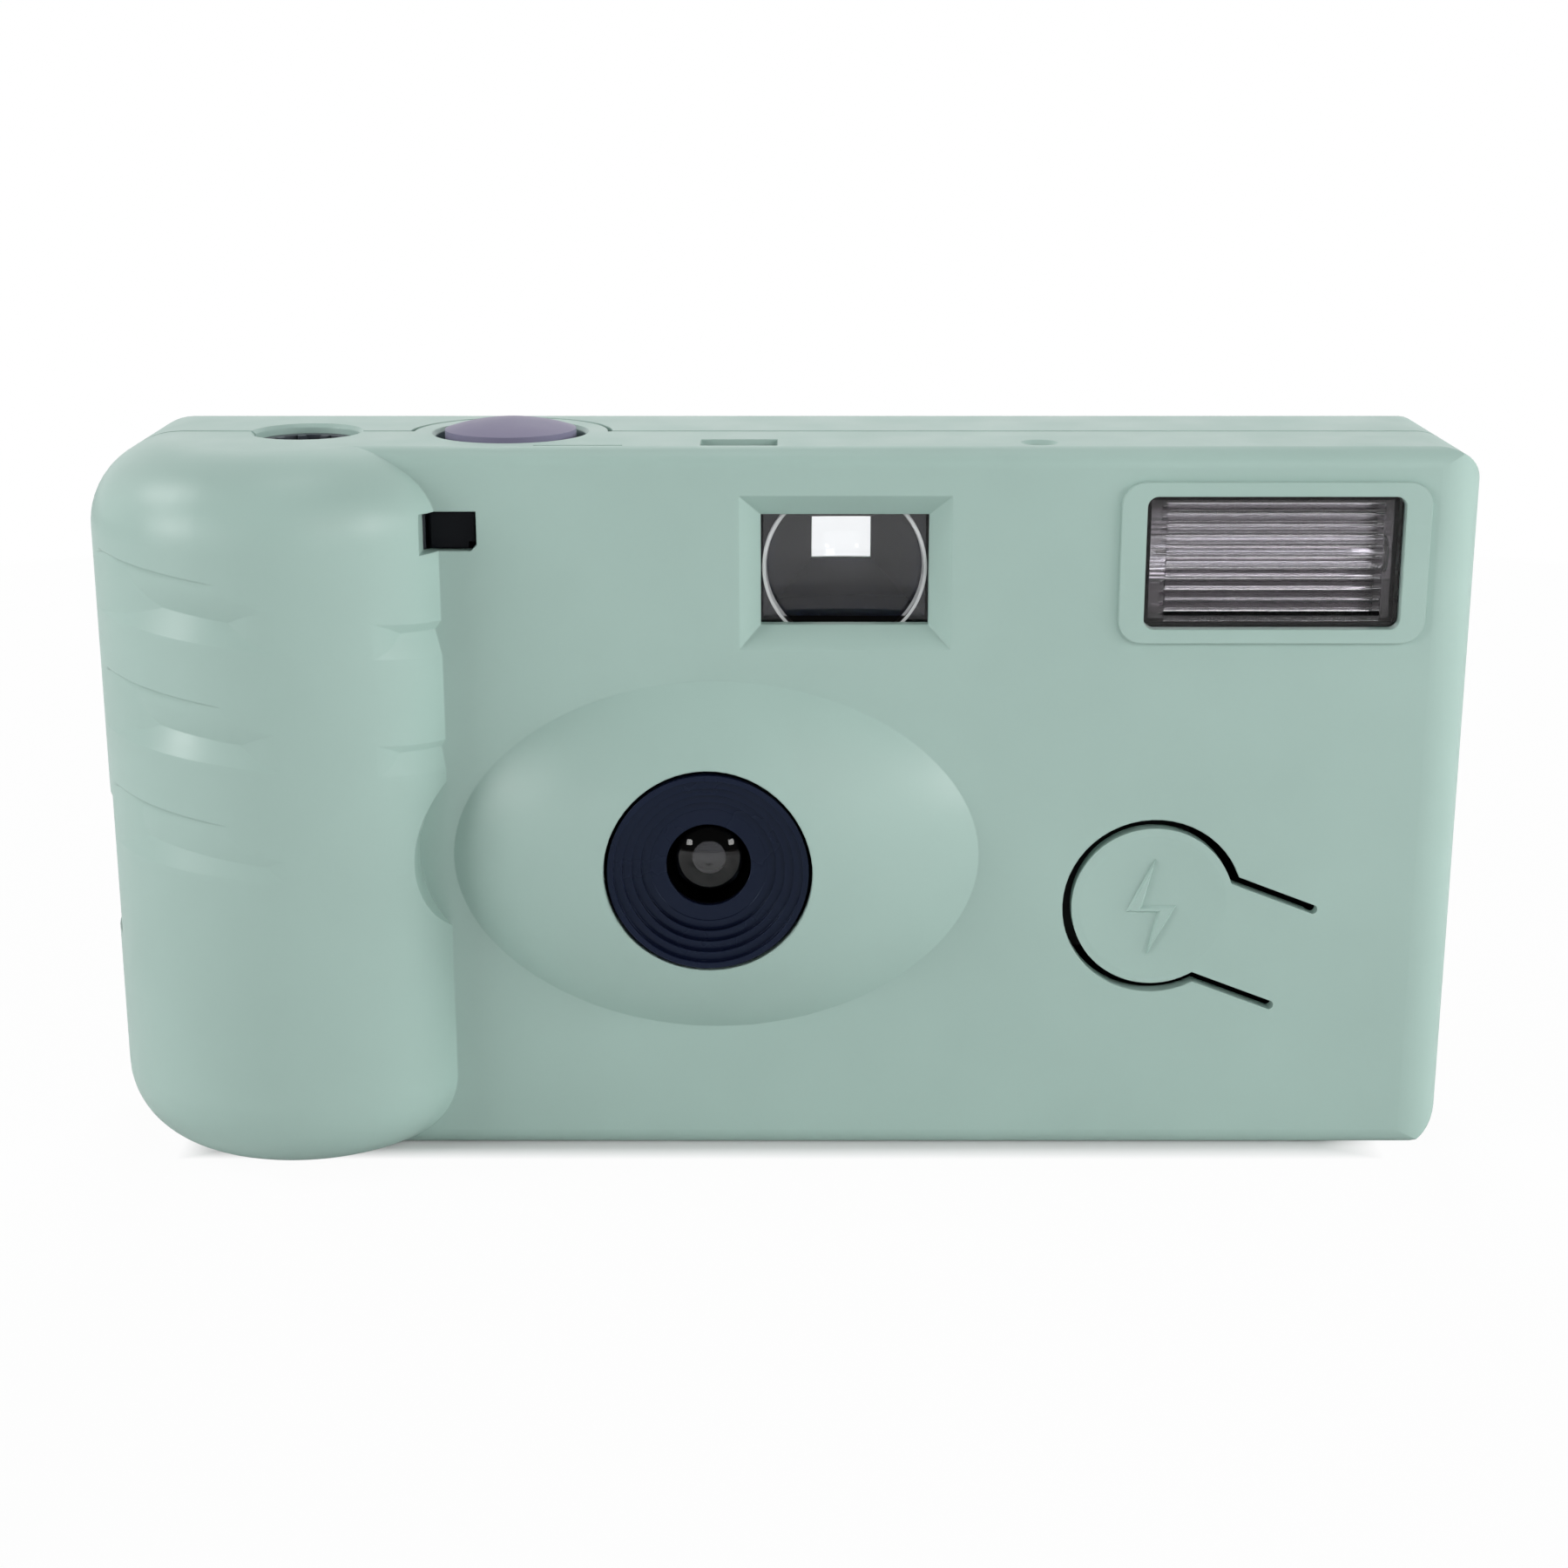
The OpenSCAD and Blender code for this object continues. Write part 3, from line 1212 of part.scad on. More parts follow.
module ready_lamp() {
  dome_z = z_in_top - loose_gap - lap - lamp_r;
  color("#f2b24a", 0.7) {
    bar_z(lamp_r, lamp_x, lamp_y, board_tab_z1, dome_z);
    translate([lamp_x, lamp_y, dome_z]) sphere(r = lamp_r);
  }
}

// Springy strip under the flash button, on a foot on the board
module flash_switch_blade() {
  y0 = y_in_front + blade_gap;
  x0 = tongue_x - 6;
  strip_l = 9;
  foot_l = 2;
  half = 1.5;
  color("#c7a65a") {
    block([x0, y0, tongue_z - half], [x0 + strip_l, y0 + switch_t, tongue_z + half]);
    block([x0, y0, tongue_z - half], [x0 + foot_l, board_y0, tongue_z + half]);
  }
}

// Strip that the shutter closes to fire the flash
module sync_contact() {
  x0 = lens_x + 13.3;
  x1 = board_x0 + 1.6;
  z = [lens_z + 11, lens_z + 13];
  foot_l = 1.4;
  lift = 0.6;
  color("#c7a65a") {
    block([x0, board_y0 - lift, z[0]], [x1, board_y0 - lift + switch_t, z[1]]);
    block([x1 - foot_l, board_y0 - lift, z[0]], [x1, board_y0, z[1]]);
  }
}

module battery() {
  color("#d7d9db") bar_x(battery_r, battery_y, battery_z, battery_x0, battery_x1 - nub_l);
  color("silver") bar_x(nub_r, battery_y, battery_z, battery_x1 - nub_l - 0.1, battery_x1);
}

module battery_contact_plus() {
  half = contact_plus_half;
  color("silver") block([battery_x1, battery_y - half[0], battery_z - half[1]],
    [battery_x1 + contact_t, battery_y + half[0], battery_z + half[1]]);
}

// Plate with a cone that presses on the battery's flat end
module battery_contact_minus() {
  x0 = battery_x0 - contact_spring_l - contact_t;
  half = contact_minus_half;
  color("silver") {
    block([x0, battery_y - half[0], battery_z - half[1]],
      [x0 + contact_t, battery_y + half[0], battery_z + half[1]]);
    translate([x0 + contact_t - 0.01, battery_y, battery_z]) rotate([0, 90, 0])
      cylinder(r1 = contact_cone_r[0], r2 = contact_cone_r[1], h = contact_spring_l + 0.01);
  }
}

front_cover();
rear_cover();
film_chassis();
lens_bezel();
taking_lens();
lens_holder();
shutter_blade();
shutter_spring();
shutter_lever();
lever_spring();
viewfinder_front_lens();
viewfinder_tunnel();
viewfinder_eyepiece();
shutter_button();
button_spring();
advance_wheel();
cartridge_shell();
cartridge_spool();
film_strip();
feed_spool();
film_roll();
sprocket();
counter_dial();
counter_window();
flash_button();
flash_lens();
flash_reflector();
flash_tube();
flash_board();
flash_capacitor();
flash_transformer();
trigger_coil();
ready_lamp();
flash_switch_blade();
sync_contact();
battery();
battery_contact_plus();
battery_contact_minus();
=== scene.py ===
import math

import bmesh
import bpy
from mathutils import Matrix, Vector


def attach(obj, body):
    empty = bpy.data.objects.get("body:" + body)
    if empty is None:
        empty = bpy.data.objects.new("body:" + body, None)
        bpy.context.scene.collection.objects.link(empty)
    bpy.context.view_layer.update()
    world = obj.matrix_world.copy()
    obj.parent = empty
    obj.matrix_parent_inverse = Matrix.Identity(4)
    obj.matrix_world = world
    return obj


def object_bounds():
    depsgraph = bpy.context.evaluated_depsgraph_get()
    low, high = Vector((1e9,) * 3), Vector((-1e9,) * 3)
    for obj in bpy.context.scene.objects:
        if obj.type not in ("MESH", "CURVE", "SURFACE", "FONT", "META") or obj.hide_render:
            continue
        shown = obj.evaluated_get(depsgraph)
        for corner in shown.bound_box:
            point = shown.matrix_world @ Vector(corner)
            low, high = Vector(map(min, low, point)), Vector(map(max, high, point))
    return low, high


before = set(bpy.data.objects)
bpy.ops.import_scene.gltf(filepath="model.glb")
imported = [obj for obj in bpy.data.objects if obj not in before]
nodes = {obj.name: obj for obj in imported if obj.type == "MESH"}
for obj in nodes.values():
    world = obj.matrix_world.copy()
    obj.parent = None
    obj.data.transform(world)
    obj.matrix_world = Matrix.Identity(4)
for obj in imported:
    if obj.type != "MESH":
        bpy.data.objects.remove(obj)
cad_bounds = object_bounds()

MM = 0.001
EVEN = (1, 1, 1)
scene = bpy.context.scene

# Camera fitted to the photograph, in the part's frame, with lens and sensor in millimetres
CAMERA_AT = Vector((0.3, -221.513, 94.690)) * MM
CAMERA_AIM = Vector((0.3, 0.25, 31.1)) * MM
CAMERA_LENS = 60
CAMERA_SENSOR = 36
CAMERA_CLIP = (0.01, 50)

# Brightness of the world on matt surfaces
WORLD_LEVEL = 0.06
# Gloss mirrors a white wall at the back, which fades in between these Y values of a direction
WALL_Y = (-0.1, 0.3)

# Lamps: turn from the front to the right and height in degrees, distance and size in metres, watts
LAMPS = {
    "left_panel": (-85, 40, 0.6, 0.20, 1.0),
    "left_low_panel": (-62, 15, 0.6, 0.20, 1.2),
    "right_panel": (62, 17, 0.6, 0.20, 0.95),
    "right_low_panel": (85, 10, 0.6, 0.20, 1.4),
    "near_panel": (25, 28, 0.22, 0.07, 0.08),
    "top_panel": (0, 85, 0.6, 0.20, 0.3),
    "back_panel": (180, 35, 0.6, 0.20, 1.8),
    "left_bulb": (-30, 10, 0.6, 0.08, 0.14),
    "right_bulb": (30, 10, 0.6, 0.08, 0.14),
}
# Fill lamps that gloss doesn't mirror
UNMIRRORED = {"right_low_panel", "near_panel", "back_panel"}

# Floor in metres: half its side, where it fades to white on the way out from the middle, and where
# it turns from dark, close under the base, to pale. Dark and pale are shares of its glow. The dark
# patch is painted shade: the floor is made darker close under the base, where the real shadow falls
# too
FLOOR_HALF = 4
FLOOR_FADE = (0.09, 0.3)
FLOOR_SHADOW_PATCH = {"X": (0.048, 0.053), "Y": (0.0080, 0.0105)}
FLOOR_SHADOW_GLOW = 0.1
FLOOR_PALE = 0.96

# Flash tongue, in millimetres: its face, the ball-shaped hollow in it, seen from the front, and the
# middle of the root on which it bends
FACE_Y = -7.75
TONGUE_AT = Vector((32.1, 22.4))
DISH_D = 0.4
DISH_BALL_R = 49.81
TONGUE_ROOT = Vector((42.6, FACE_Y, 18.4)) * MM

# Flash sign: a low bevelled plate that follows the hollow, in millimetres from the hollow's middle
SIGN = [(0.15, 4.3), (-2.25, -0.6), (0.45, -0.68), (-0.42, -4.5), (2.1, -0.02), (-0.85, -0.08)]
SIGN_TRIANGLES = ((0, 1, 5), (1, 2, 5), (2, 3, 4), (2, 4, 5))
SIGN_BEVEL = 0.2
SIGN_HEIGHT = 0.26
SIGN_SKIRT = 0.2
# Sharp corners of the sign don't move inwards by more than the bevel over this
MITRE_LIMIT = 0.35

# Numbers of the counter dial, seen through its window, from the first one on, turned in degrees
DIAL_AT = Vector((-5.5, 3.0, 59.7)) * MM
DIAL_NUMBER_R = 6.3 * MM
DIAL_NUMBER_H = 1.9 * MM
DIAL_NUMBER_RELIEF = 0.02 * MM
DIAL_NUMBERS = 12
DIAL_FIRST = 36
DIAL_STEP = 3
DIAL_FIRST_TURN = 180

# Frosted ring in the viewfinder's front lens, in metres, and what still goes straight through it
FINDER_RING = {"x": 5.4 * MM, "z": 51.6 * MM, "radius": 6.8 * MM, "width": 0.26 * MM}
FROSTED_CLARITY = 0.35

# Noise lies mostly between these values
NOISE_SPAN = (0.3, 0.7)
# A wave texture of scale 1 repeats at this length
WAVE_LENGTH = 0.314
# Softened edges begin this far from a place that stays sharp
SHARP_SPAN = (6 * MM, 7 * MM)
BEVEL_SAMPLES = 6
PLASTIC_IOR = 1.49


def srgb(red, green, blue):
    """Linear colour for an 8-bit screen colour."""
    def linear(value):
        value /= 255
        return value / 12.92 if value <= 0.04045 else ((value + 0.055) / 1.055) ** 2.4
    return linear(red), linear(green), linear(blue), 1.0


def shade(color, factor):
    """The same colour, lighter or darker."""
    return tuple(min(1.0, channel * factor) for channel in color[:3]) + (1.0,)


SAGE = srgb(166, 192, 184)
CHASSIS_BLACK = shade(srgb(30, 33, 40), 0.35)
BEZEL_INK = srgb(13, 19, 40)
BEZEL_SHEEN = (0.6, 0.75, 1, 1)
LILAC = srgb(128, 124, 148)
HUB_GREY = srgb(62, 68, 76)
IVORY = srgb(236, 234, 226)
DIAL_INK = srgb(40, 40, 46)
STEEL = srgb(205, 207, 210)
BLADE_GREY = srgb(38, 38, 44)
BRASS = srgb(214, 182, 112)
REFLECTOR_GREY = srgb(132, 127, 131)
CARTRIDGE_GREY = srgb(40, 42, 48)
JACKET_GREY = srgb(190, 192, 196)
FILM_BROWN = srgb(74, 52, 40)
ROLL_DARK = srgb(70, 50, 38)
ROLL_PALE = srgb(96, 74, 58)
BOARD_GREEN = srgb(26, 34, 30)
SLEEVE_GREY = srgb(34, 36, 42)
COPPER_DARK = srgb(150, 74, 40)
COPPER_PALE = srgb(206, 124, 74)
CLEAR = (0.97, 0.98, 0.99, 1)
WINDOW_CLEAR = (0.93, 0.92, 0.94, 1)
TUBE_CLEAR = (0.96, 0.98, 1.0, 1)
AMBER = (1.0, 0.62, 0.25, 1)
PAPER = (0.8, 0.8, 0.8, 1)
WHITE = (1, 1, 1, 1)


# Node trees

def add_node(tree, kind, **settings):
    """A new node with some settings."""
    node = tree.nodes.new(kind)
    for key, value in settings.items():
        setattr(node, key, value)
    return node


def map_range(tree, value, start, end, low, high):
    """Numbers from low to high as a value goes from start to end."""
    node = add_node(tree, "ShaderNodeMapRange")
    limits = {"From Min": start, "From Max": end, "To Min": low, "To Max": high}
    for socket, limit in limits.items():
        node.inputs[socket].default_value = limit
    tree.links.new(value, node.inputs["Value"])
    return node.outputs["Result"]


def combine(tree, operation, first, second):
    """A math operation on two outputs."""
    node = add_node(tree, "ShaderNodeMath", operation=operation)
    tree.links.new(first, node.inputs[0])
    tree.links.new(second, node.inputs[1])
    return node.outputs["Value"]


def seen_rays(tree, *kinds):
    """1 for rays of the named kinds, 0 for others."""
    rays = add_node(tree, "ShaderNodeLightPath")
    result = rays.outputs[kinds[0]]
    for kind in kinds[1:]:
        result = combine(tree, "MAXIMUM", result, rays.outputs[kind])
    return result


# Materials

class Material:
    """A node material with one principled shader, and short calls that wire noise into it."""

    def __init__(self, name, **sockets):
        self.material = bpy.data.materials.new(name)
        self.material.use_nodes = True
        self.tree = self.material.node_tree
        self.shader = self.tree.nodes["Principled BSDF"]
        for socket, value in sockets.items():
            self.shader.inputs[socket.replace("_", " ")].default_value = value
        self.place = self.add("ShaderNodeTexCoord").outputs["Object"]

    def add(self, kind, **settings):
        """A new node of this material."""
        return add_node(self.tree, kind, **settings)

    def link(self, output, socket):
        """Joins an output to an input."""
        self.tree.links.new(output, socket)

    def noise(self, size, detail=2.0, stretch=EVEN):
        """Noise whose grains measure about size metres, stretched along the axes."""
        mapping = self.add("ShaderNodeMapping")
        mapping.inputs["Scale"].default_value = tuple(1 / (size * s) for s in stretch)
        self.link(self.place, mapping.inputs["Vector"])
        texture = self.add("ShaderNodeTexNoise")
        texture.inputs["Scale"].default_value = 1.0
        texture.inputs["Detail"].default_value = detail
        self.link(mapping.outputs["Vector"], texture.inputs["Vector"])
        return texture.outputs["Fac"]

    def ramp(self, factor, low, high):
        """Colours between low and high as the factor crosses the span of the noise."""
        ramp = self.add("ShaderNodeValToRGB")
        for stop, position, color in zip(ramp.color_ramp.elements, NOISE_SPAN, (low, high)):
            stop.position = position
            stop.color = color
        self.link(factor, ramp.inputs["Fac"])
        return ramp.outputs["Color"]

    def distance(self, place, point):
        """Distance of a place from a fixed point."""
        node = self.add("ShaderNodeVectorMath", operation="DISTANCE")
        node.inputs[1].default_value = point
        self.link(place, node.inputs[0])
        return node.outputs["Value"]

    def away(self, point, span, low, high):
        """Numbers from low to high as the distance from a point crosses a span."""
        return map_range(self.tree, self.distance(self.place, point), *span, low, high)

    def tint(self, color, size, amount):
        """Lets the base colour drift by amount, over patches of the given size."""
        drift = self.ramp(self.noise(size), shade(color, 1 - amount), shade(color, 1 + amount))
        self.link(drift, self.shader.inputs["Base Color"])

    def gloss(self, rough, drift, size):
        """Lets the roughness drift to both sides, over patches of the given size."""
        spots = self.noise(size, detail=3.0)
        result = map_range(self.tree, spots, *NOISE_SPAN, rough - drift, rough + drift)
        self.link(result, self.shader.inputs["Roughness"])

    def frost(self, x, z, radius, width):
        """Makes a ring round an axis along Y less clear."""
        flat = self.add("ShaderNodeVectorMath", operation="MULTIPLY")
        flat.inputs[1].default_value = (1, 0, 1)
        self.link(self.place, flat.inputs[0])
        band = self.add("ShaderNodeMath", operation="COMPARE")
        band.inputs[1].default_value = radius
        band.inputs[2].default_value = width / 2
        self.link(self.distance(flat.outputs["Vector"], (x, 0, z)), band.inputs[0])
        through = map_range(self.tree, band.outputs["Value"], 0.0, 1.0, 1.0, FROSTED_CLARITY)
        self.link(through, self.shader.inputs["Transmission Weight"])

    def grain(self, size, height, stretch=EVEN, soften=0.0, sharp_at=None):
        """Fine relief of the given grain size and height.

        Edges are softened by a small radius if one is given, but not near the place sharp_at.
        """
        bump = self.add("ShaderNodeBump")
        bump.inputs["Distance"].default_value = height
        self.link(self.noise(size, 3.0, stretch), bump.inputs["Height"])
        if soften:
            bevel = self.add("ShaderNodeBevel", samples=BEVEL_SAMPLES)
            bevel.inputs["Radius"].default_value = soften
            if sharp_at:
                radius = self.away(sharp_at, SHARP_SPAN, 0.0, soften)
                self.link(radius, bevel.inputs["Radius"])
            self.link(bevel.outputs["Normal"], bump.inputs["Normal"])
        self.link(bump.outputs["Normal"], self.shader.inputs["Normal"])


def moulded(name, color, rough, grain=0.25 * MM, height=0.004 * MM, soften=0.0, sharp_at=None,
            **sockets):
    """Moulded plastic: a fine spark-eroded grain, slow drift of colour and gloss."""
    plastic = Material(name, IOR=PLASTIC_IOR, **sockets)
    plastic.tint(color, size=14 * MM, amount=0.025)
    plastic.gloss(rough, drift=0.05, size=5 * MM)
    plastic.grain(grain, height, soften=soften, sharp_at=sharp_at)
    return plastic.material


def clear(name, color, rough=0.0, ring=None, **sockets):
    """Clear moulded plastic with very slight flow waves, and a frosted ring if one is given."""
    plastic = Material(name, IOR=PLASTIC_IOR, Roughness=rough, Transmission_Weight=1.0, **sockets)
    plastic.tint(color, size=6 * MM, amount=0.01)
    if ring:
        plastic.frost(**ring)
    plastic.grain(size=4 * MM, height=0.0004 * MM)
    return plastic.material


def metal(name, color, rough, stretch=EVEN, size=0.15 * MM, height=0.003 * MM):
    """Metal with fine marks, drawn out along the way it was rolled."""
    sheet = Material(name, Metallic=1.0)
    sheet.tint(color, size=3 * MM, amount=0.05)
    sheet.gloss(rough, drift=0.07, size=1.5 * MM)
    sheet.grain(size, height, stretch)
    return sheet.material


def striped(name, dark, pale, rough, pitch, axis, metallic=0.0):
    """Windings: bands of two colours across one axis, raised where they are pale."""
    winding = Material(name, Metallic=metallic, Roughness=rough)
    wave = winding.add("ShaderNodeTexWave", bands_direction=axis)
    wave.inputs["Scale"].default_value = WAVE_LENGTH / pitch
    winding.link(winding.place, wave.inputs["Vector"])
    bands = winding.ramp(wave.outputs["Fac"], dark, pale)
    winding.link(bands, winding.shader.inputs["Base Color"])
    bump = winding.add("ShaderNodeBump")
    bump.inputs["Distance"].default_value = pitch / 4
    winding.link(wave.outputs["Fac"], bump.inputs["Height"])
    winding.link(bump.outputs["Normal"], winding.shader.inputs["Normal"])
    return winding.material


def put(material, *names):
    """Gives CAD nodes a material."""
    for name in names:
        slots = nodes[name].data.materials
        slots.clear()
        slots.append(material)


# Covers, buttons and other plastic
put(moulded("sage_plastic", SAGE, 0.38, soften=0.18 * MM, sharp_at=TONGUE_ROOT),
    "front_cover", "rear_cover")
tongue_sage = moulded("tongue_sage", SAGE, 0.38)
put(tongue_sage, "flash_button")
put(moulded("lilac_plastic", LILAC, 0.4, height=0.002 * MM, Specular_IOR_Level=0.2),
    "shutter_button")
put(moulded("chassis_black", CHASSIS_BLACK, 0.6, Specular_IOR_Level=0.15),
    "film_chassis", "lens_holder")
put(moulded("tunnel_black", BEZEL_INK, 0.8, Specular_IOR_Level=0.04), "viewfinder_tunnel")
put(moulded("bezel_black", BEZEL_INK, 0.26, height=0.002 * MM, soften=0.08 * MM,
            Specular_IOR_Level=0.35, Specular_Tint=BEZEL_SHEEN), "lens_bezel")
put(moulded("grey_plastic", HUB_GREY, 0.45, soften=0.1 * MM),
    "advance_wheel", "cartridge_spool", "feed_spool")
put(moulded("white_plastic", IVORY, 0.45), "sprocket", "counter_dial")

# Lenses and windows
put(clear("clear_plastic", CLEAR), "taking_lens", "viewfinder_eyepiece")
put(clear("finder_plastic", CLEAR, ring=FINDER_RING, Specular_IOR_Level=0.25),
    "viewfinder_front_lens")
put(clear("window_plastic", WINDOW_CLEAR, 0.03), "flash_lens", "counter_window")
put(clear("tube_glass", TUBE_CLEAR), "flash_tube")
put(clear("lamp_glass", AMBER, 0.1), "ready_lamp")

# Metal
put(metal("bright_metal", STEEL, 0.28), "button_spring", "lever_spring", "shutter_spring",
    "shutter_lever", "battery_contact_plus", "battery_contact_minus")
put(metal("blade_metal", BLADE_GREY, 0.4, stretch=(8, 1, 1)), "shutter_blade")
put(metal("spring_brass", BRASS, 0.25, stretch=(8, 1, 1)), "flash_switch_blade", "sync_contact")
put(metal("reflector_metal", REFLECTOR_GREY, 0.18, size=2 * MM, height=0.001 * MM),
    "flash_reflector")
put(metal("tin_plate", CARTRIDGE_GREY, 0.4, stretch=(1, 1, 12)), "cartridge_shell")
put(metal("battery_jacket", JACKET_GREY, 0.3, stretch=(12, 1, 1)), "battery")

# Film and flash circuit
put(moulded("film_base", FILM_BROWN, 0.25, height=0.001 * MM), "film_strip")
put(striped("film_layers", ROLL_DARK, ROLL_PALE, 0.3, pitch=0.15 * MM, axis="Z"), "film_roll")
put(moulded("board_resin", BOARD_GREEN, 0.55, grain=0.6 * MM), "flash_board")
put(moulded("sleeve_plastic", SLEEVE_GREY, 0.3), "flash_capacitor")
put(striped("copper_wire", COPPER_DARK, COPPER_PALE, 0.35, pitch=0.2 * MM, axis="Z", metallic=0.6),
    "flash_transformer", "trigger_coil")


# Pieces made here

def new_mesh(name, build):
    """A mesh filled by build(bmesh)."""
    mesh = bpy.data.meshes.new(name)
    shape = bmesh.new()
    build(shape)
    shape.to_mesh(mesh)
    shape.free()
    return mesh


def mesh_piece(name, build, material, body):
    """A piece filled by build(bmesh), riding on a body."""
    mesh = new_mesh(name, build)
    piece = bpy.data.objects.new(name, mesh)
    scene.collection.objects.link(piece)
    mesh.materials.append(material)
    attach(piece, body)


def inset(outline, distance):
    """The outline of a polygon, counter-clockwise, moved inwards."""
    moved = []
    for i, corner in enumerate(outline):
        here = Vector(corner)
        come = (here - Vector(outline[i - 1])).normalized()
        leave = (Vector(outline[(i + 1) % len(outline)]) - here).normalized()
        normal_a, normal_b = Vector((-come.y, come.x)), Vector((-leave.y, leave.x))
        across = (normal_a + normal_b).normalized()
        moved.append(here + across * distance / max(across.dot(normal_a), MITRE_LIMIT))
    return moved


def dish_point(at, height):
    """A point of the tongue's hollow, raised by a height, in metres."""
    depth = DISH_D - DISH_BALL_R + math.sqrt(DISH_BALL_R ** 2 - at.length_squared)
    return Vector((TONGUE_AT.x + at.x, FACE_Y + depth - height, TONGUE_AT.y + at.y)) * MM


def build_sign(shape):
    """Top face, sloping sides, a skirt sunk into the tongue, and a closed underside."""
    def ring(outline, height):
        return [shape.verts.new(dish_point(Vector(corner), height)) for corner in outline]

    top = ring(inset(SIGN, SIGN_BEVEL), SIGN_HEIGHT)
    foot = ring(SIGN, 0.0)
    skirt = ring(SIGN, -SIGN_SKIRT)
    for low, high in ((foot, top), (skirt, foot)):
        for i in range(len(low)):
            j = (i + 1) % len(low)
            shape.faces.new((low[i], low[j], high[j], high[i]))
    for corners in SIGN_TRIANGLES:
        shape.faces.new([top[i] for i in corners])
        shape.faces.new([skirt[i] for i in reversed(corners)])
    bmesh.ops.recalc_face_normals(shape, faces=shape.faces)


def make_number(value, turn, material):
    """A printed number on the dial, with its foot towards the dial's middle."""
    curve = bpy.data.curves.new("number", "FONT")
    curve.body = str(value)
    curve.size = DIAL_NUMBER_H
    curve.align_x = "CENTER"
    curve.align_y = "CENTER"
    curve.extrude = DIAL_NUMBER_RELIEF
    source = bpy.data.objects.new("number", curve)
    mesh = bpy.data.meshes.new_from_object(source)
    bpy.data.objects.remove(source)
    bpy.data.curves.remove(curve)
    out = Vector((-math.sin(turn), math.cos(turn), 0))
    place = Matrix.Translation(DIAL_AT + out * DIAL_NUMBER_R)
    mesh.transform(place @ Matrix.Rotation(turn, 4, "Z"))
    mesh.materials.clear()
    mesh.materials.append(material)
    piece = bpy.data.objects.new(f"dial_number_{value}", mesh)
    scene.collection.objects.link(piece)
    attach(piece, "counter")


mesh_piece("flash_sign", build_sign, tongue_sage, "flash_tongue")

ink = moulded("dial_ink", DIAL_INK, 0.5, height=0.001 * MM)
for k in range(DIAL_NUMBERS):
    turn = math.radians(DIAL_FIRST_TURN + 360 / DIAL_NUMBERS * k)
    make_number(DIAL_FIRST - DIAL_STEP * k, turn, ink)


# Room: pale floor, white surroundings, soft lamps

def build_floor(shape):
    """One large square."""
    bmesh.ops.create_grid(shape, x_segments=1, y_segments=1, size=FLOOR_HALF)


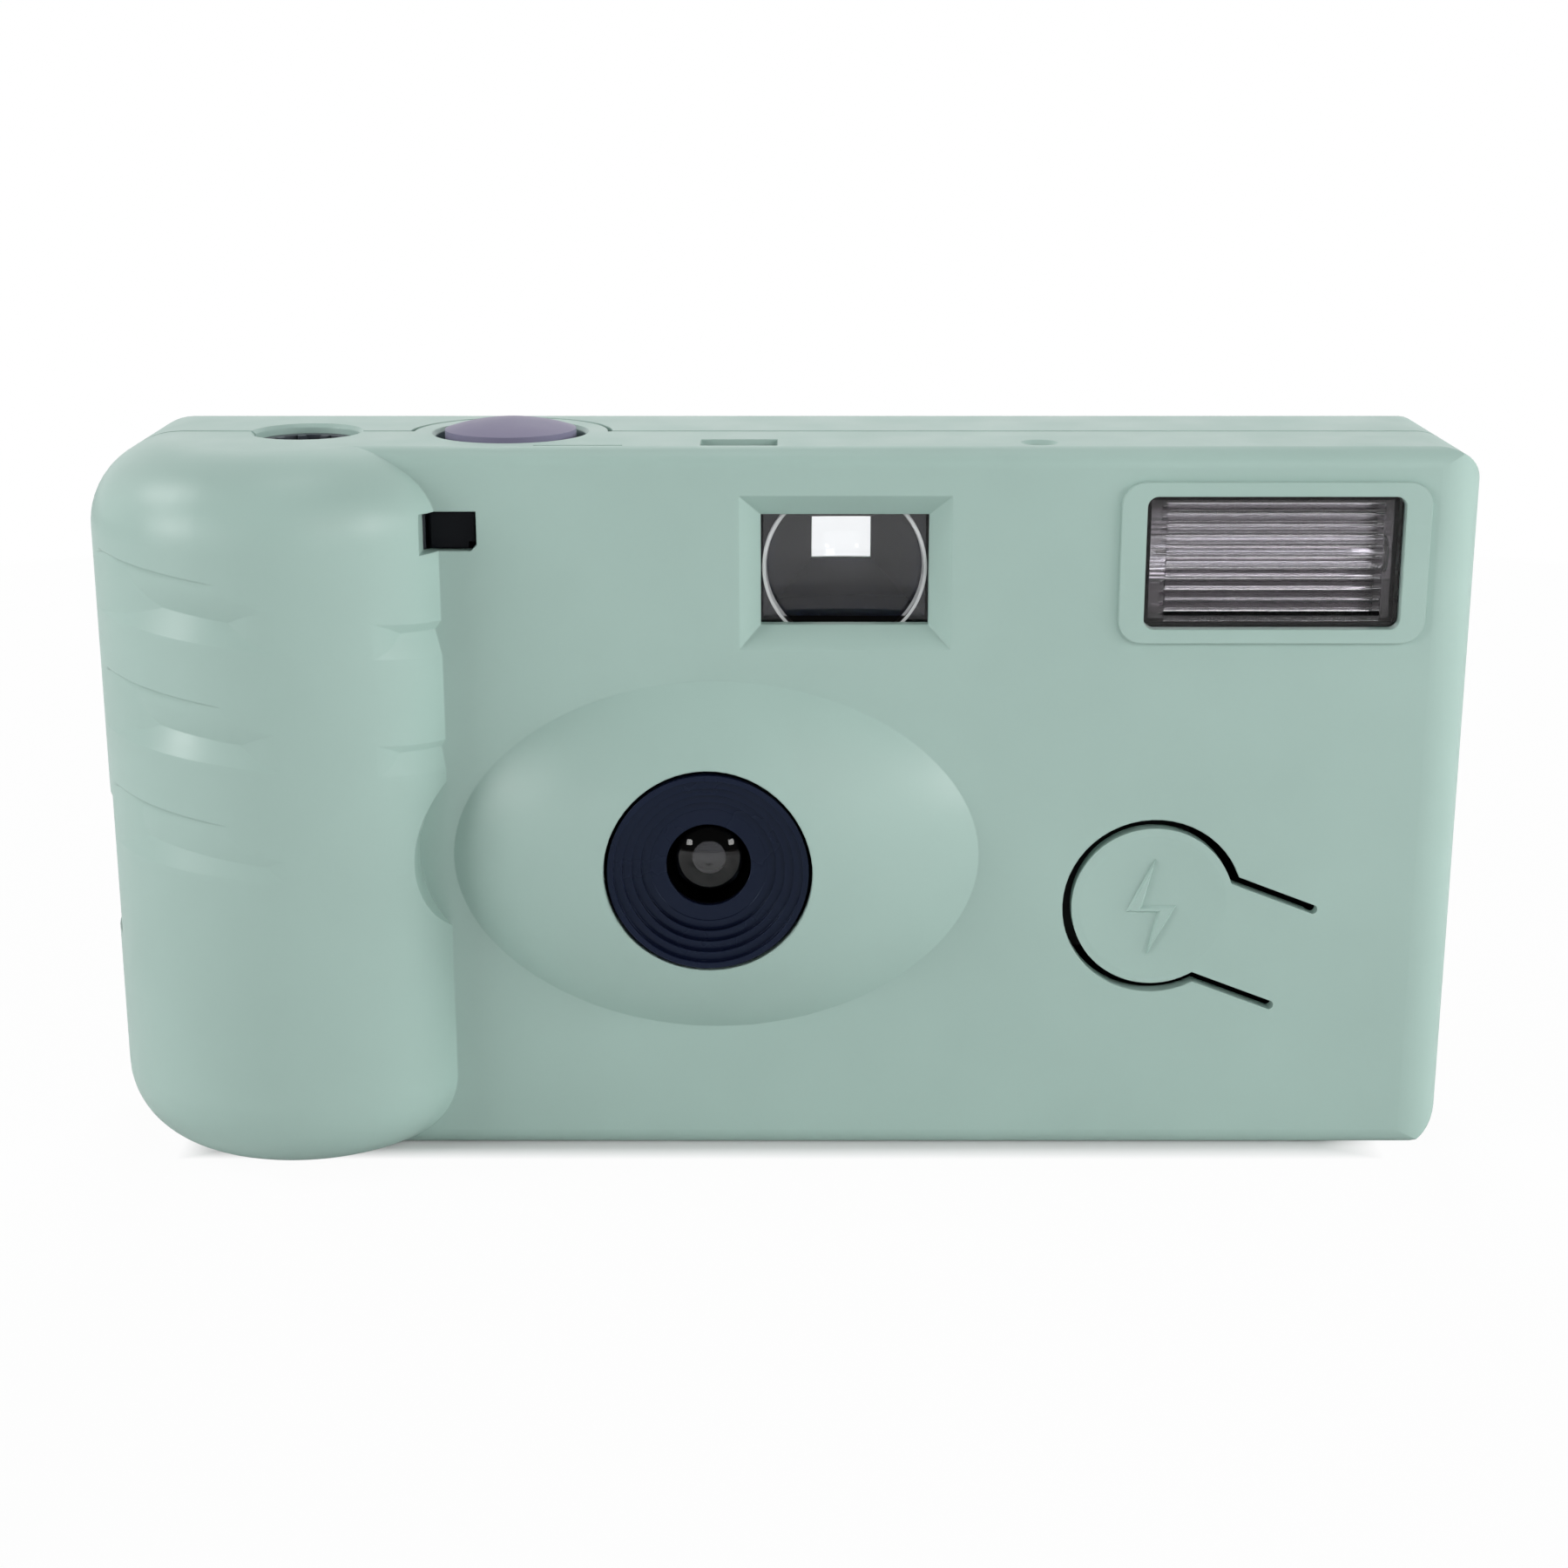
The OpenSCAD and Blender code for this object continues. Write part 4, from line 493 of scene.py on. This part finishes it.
def make_floor():
    """Pale floor at the height of the base. Its glow keeps the shadow close to the part; less glow
    in a patch close under the base is painted shade.
    """
    mesh = new_mesh("floor", build_floor)
    floor = bpy.data.objects.new("floor", mesh)
    floor.location.z = cad_bounds[0][2]
    scene.collection.objects.link(floor)
    paper = Material("floor_paper", Roughness=0.9)
    paper.tint(PAPER, size=0.2, amount=0.01)
    parts = paper.add("ShaderNodeSeparateXYZ")
    paper.link(paper.place, parts.inputs["Vector"])
    share = paper.away((0, 0, 0), FLOOR_FADE, 0.0, 1.0)
    # Painted contact shadow: in a patch close under the base the floor glows less, so it is darker
    # there than the floor around it
    for axis, span in FLOOR_SHADOW_PATCH.items():
        distance = paper.add("ShaderNodeMath", operation="ABSOLUTE")
        paper.link(parts.outputs[axis], distance.inputs[0])
        shadow_patch = map_range(paper.tree, distance.outputs["Value"], *span, FLOOR_SHADOW_GLOW, FLOOR_PALE)
        share = combine(paper.tree, "MAXIMUM", share, shadow_patch)
    seen = seen_rays(paper.tree, "Is Camera Ray", "Is Transmission Ray")
    glow = paper.add("ShaderNodeEmission")
    mix = paper.add("ShaderNodeMixShader")
    paper.link(combine(paper.tree, "MULTIPLY", share, seen), mix.inputs["Fac"])
    paper.link(paper.shader.outputs["BSDF"], mix.inputs[1])
    paper.link(glow.outputs["Emission"], mix.inputs[2])
    paper.link(mix.outputs["Shader"], paper.tree.nodes["Material Output"].inputs["Surface"])
    mesh.materials.append(paper.material)


def make_world():
    """White where it is seen and where gloss mirrors the wall at the back, dim elsewhere."""
    world = bpy.data.worlds.new("studio")
    scene.world = world
    world.use_nodes = True
    tree = world.node_tree
    place = add_node(tree, "ShaderNodeTexCoord")
    parts = add_node(tree, "ShaderNodeSeparateXYZ")
    tree.links.new(place.outputs["Generated"], parts.inputs["Vector"])
    wall = map_range(tree, parts.outputs["Y"], *WALL_Y, 0.0, 1.0)
    mirrored = combine(tree, "MULTIPLY", wall, seen_rays(tree, "Is Glossy Ray"))
    seen = seen_rays(tree, "Is Camera Ray", "Is Transmission Ray")
    white = combine(tree, "MAXIMUM", mirrored, seen)
    background = tree.nodes["Background"]
    background.inputs["Color"].default_value = WHITE
    level = map_range(tree, white, 0.0, 1.0, WORLD_LEVEL, 1.0)
    tree.links.new(level, background.inputs["Strength"])


def make_lamp(name, turn, height, distance, size, watts):
    """Square soft lamp that faces the point the camera aims at."""
    turn, height = math.radians(turn), math.radians(height)
    level = math.cos(height)
    out = Vector((math.sin(turn) * level, -math.cos(turn) * level, math.sin(height)))
    data = bpy.data.lights.new(name, "AREA")
    data.shape = "SQUARE"
    data.size = size
    data.energy = watts
    lamp = bpy.data.objects.new(name, data)
    lamp.location = CAMERA_AIM + out * distance
    lamp.rotation_euler = out.to_track_quat("Z", "Y").to_euler()
    lamp.visible_glossy = name not in UNMIRRORED
    scene.collection.objects.link(lamp)


def make_camera():
    """Camera of the photograph's view."""
    data = bpy.data.cameras.new("camera")
    data.lens = CAMERA_LENS
    data.sensor_width = CAMERA_SENSOR
    data.clip_start, data.clip_end = CAMERA_CLIP
    camera = bpy.data.objects.new("camera", data)
    camera.location = CAMERA_AT
    camera.rotation_euler = (CAMERA_AIM - CAMERA_AT).to_track_quat("-Z", "Y").to_euler()
    scene.collection.objects.link(camera)
    scene.camera = camera


make_floor()
make_world()
for name, settings in LAMPS.items():
    make_lamp(name, *settings)
make_camera()

scene.view_settings.view_transform = "Standard"
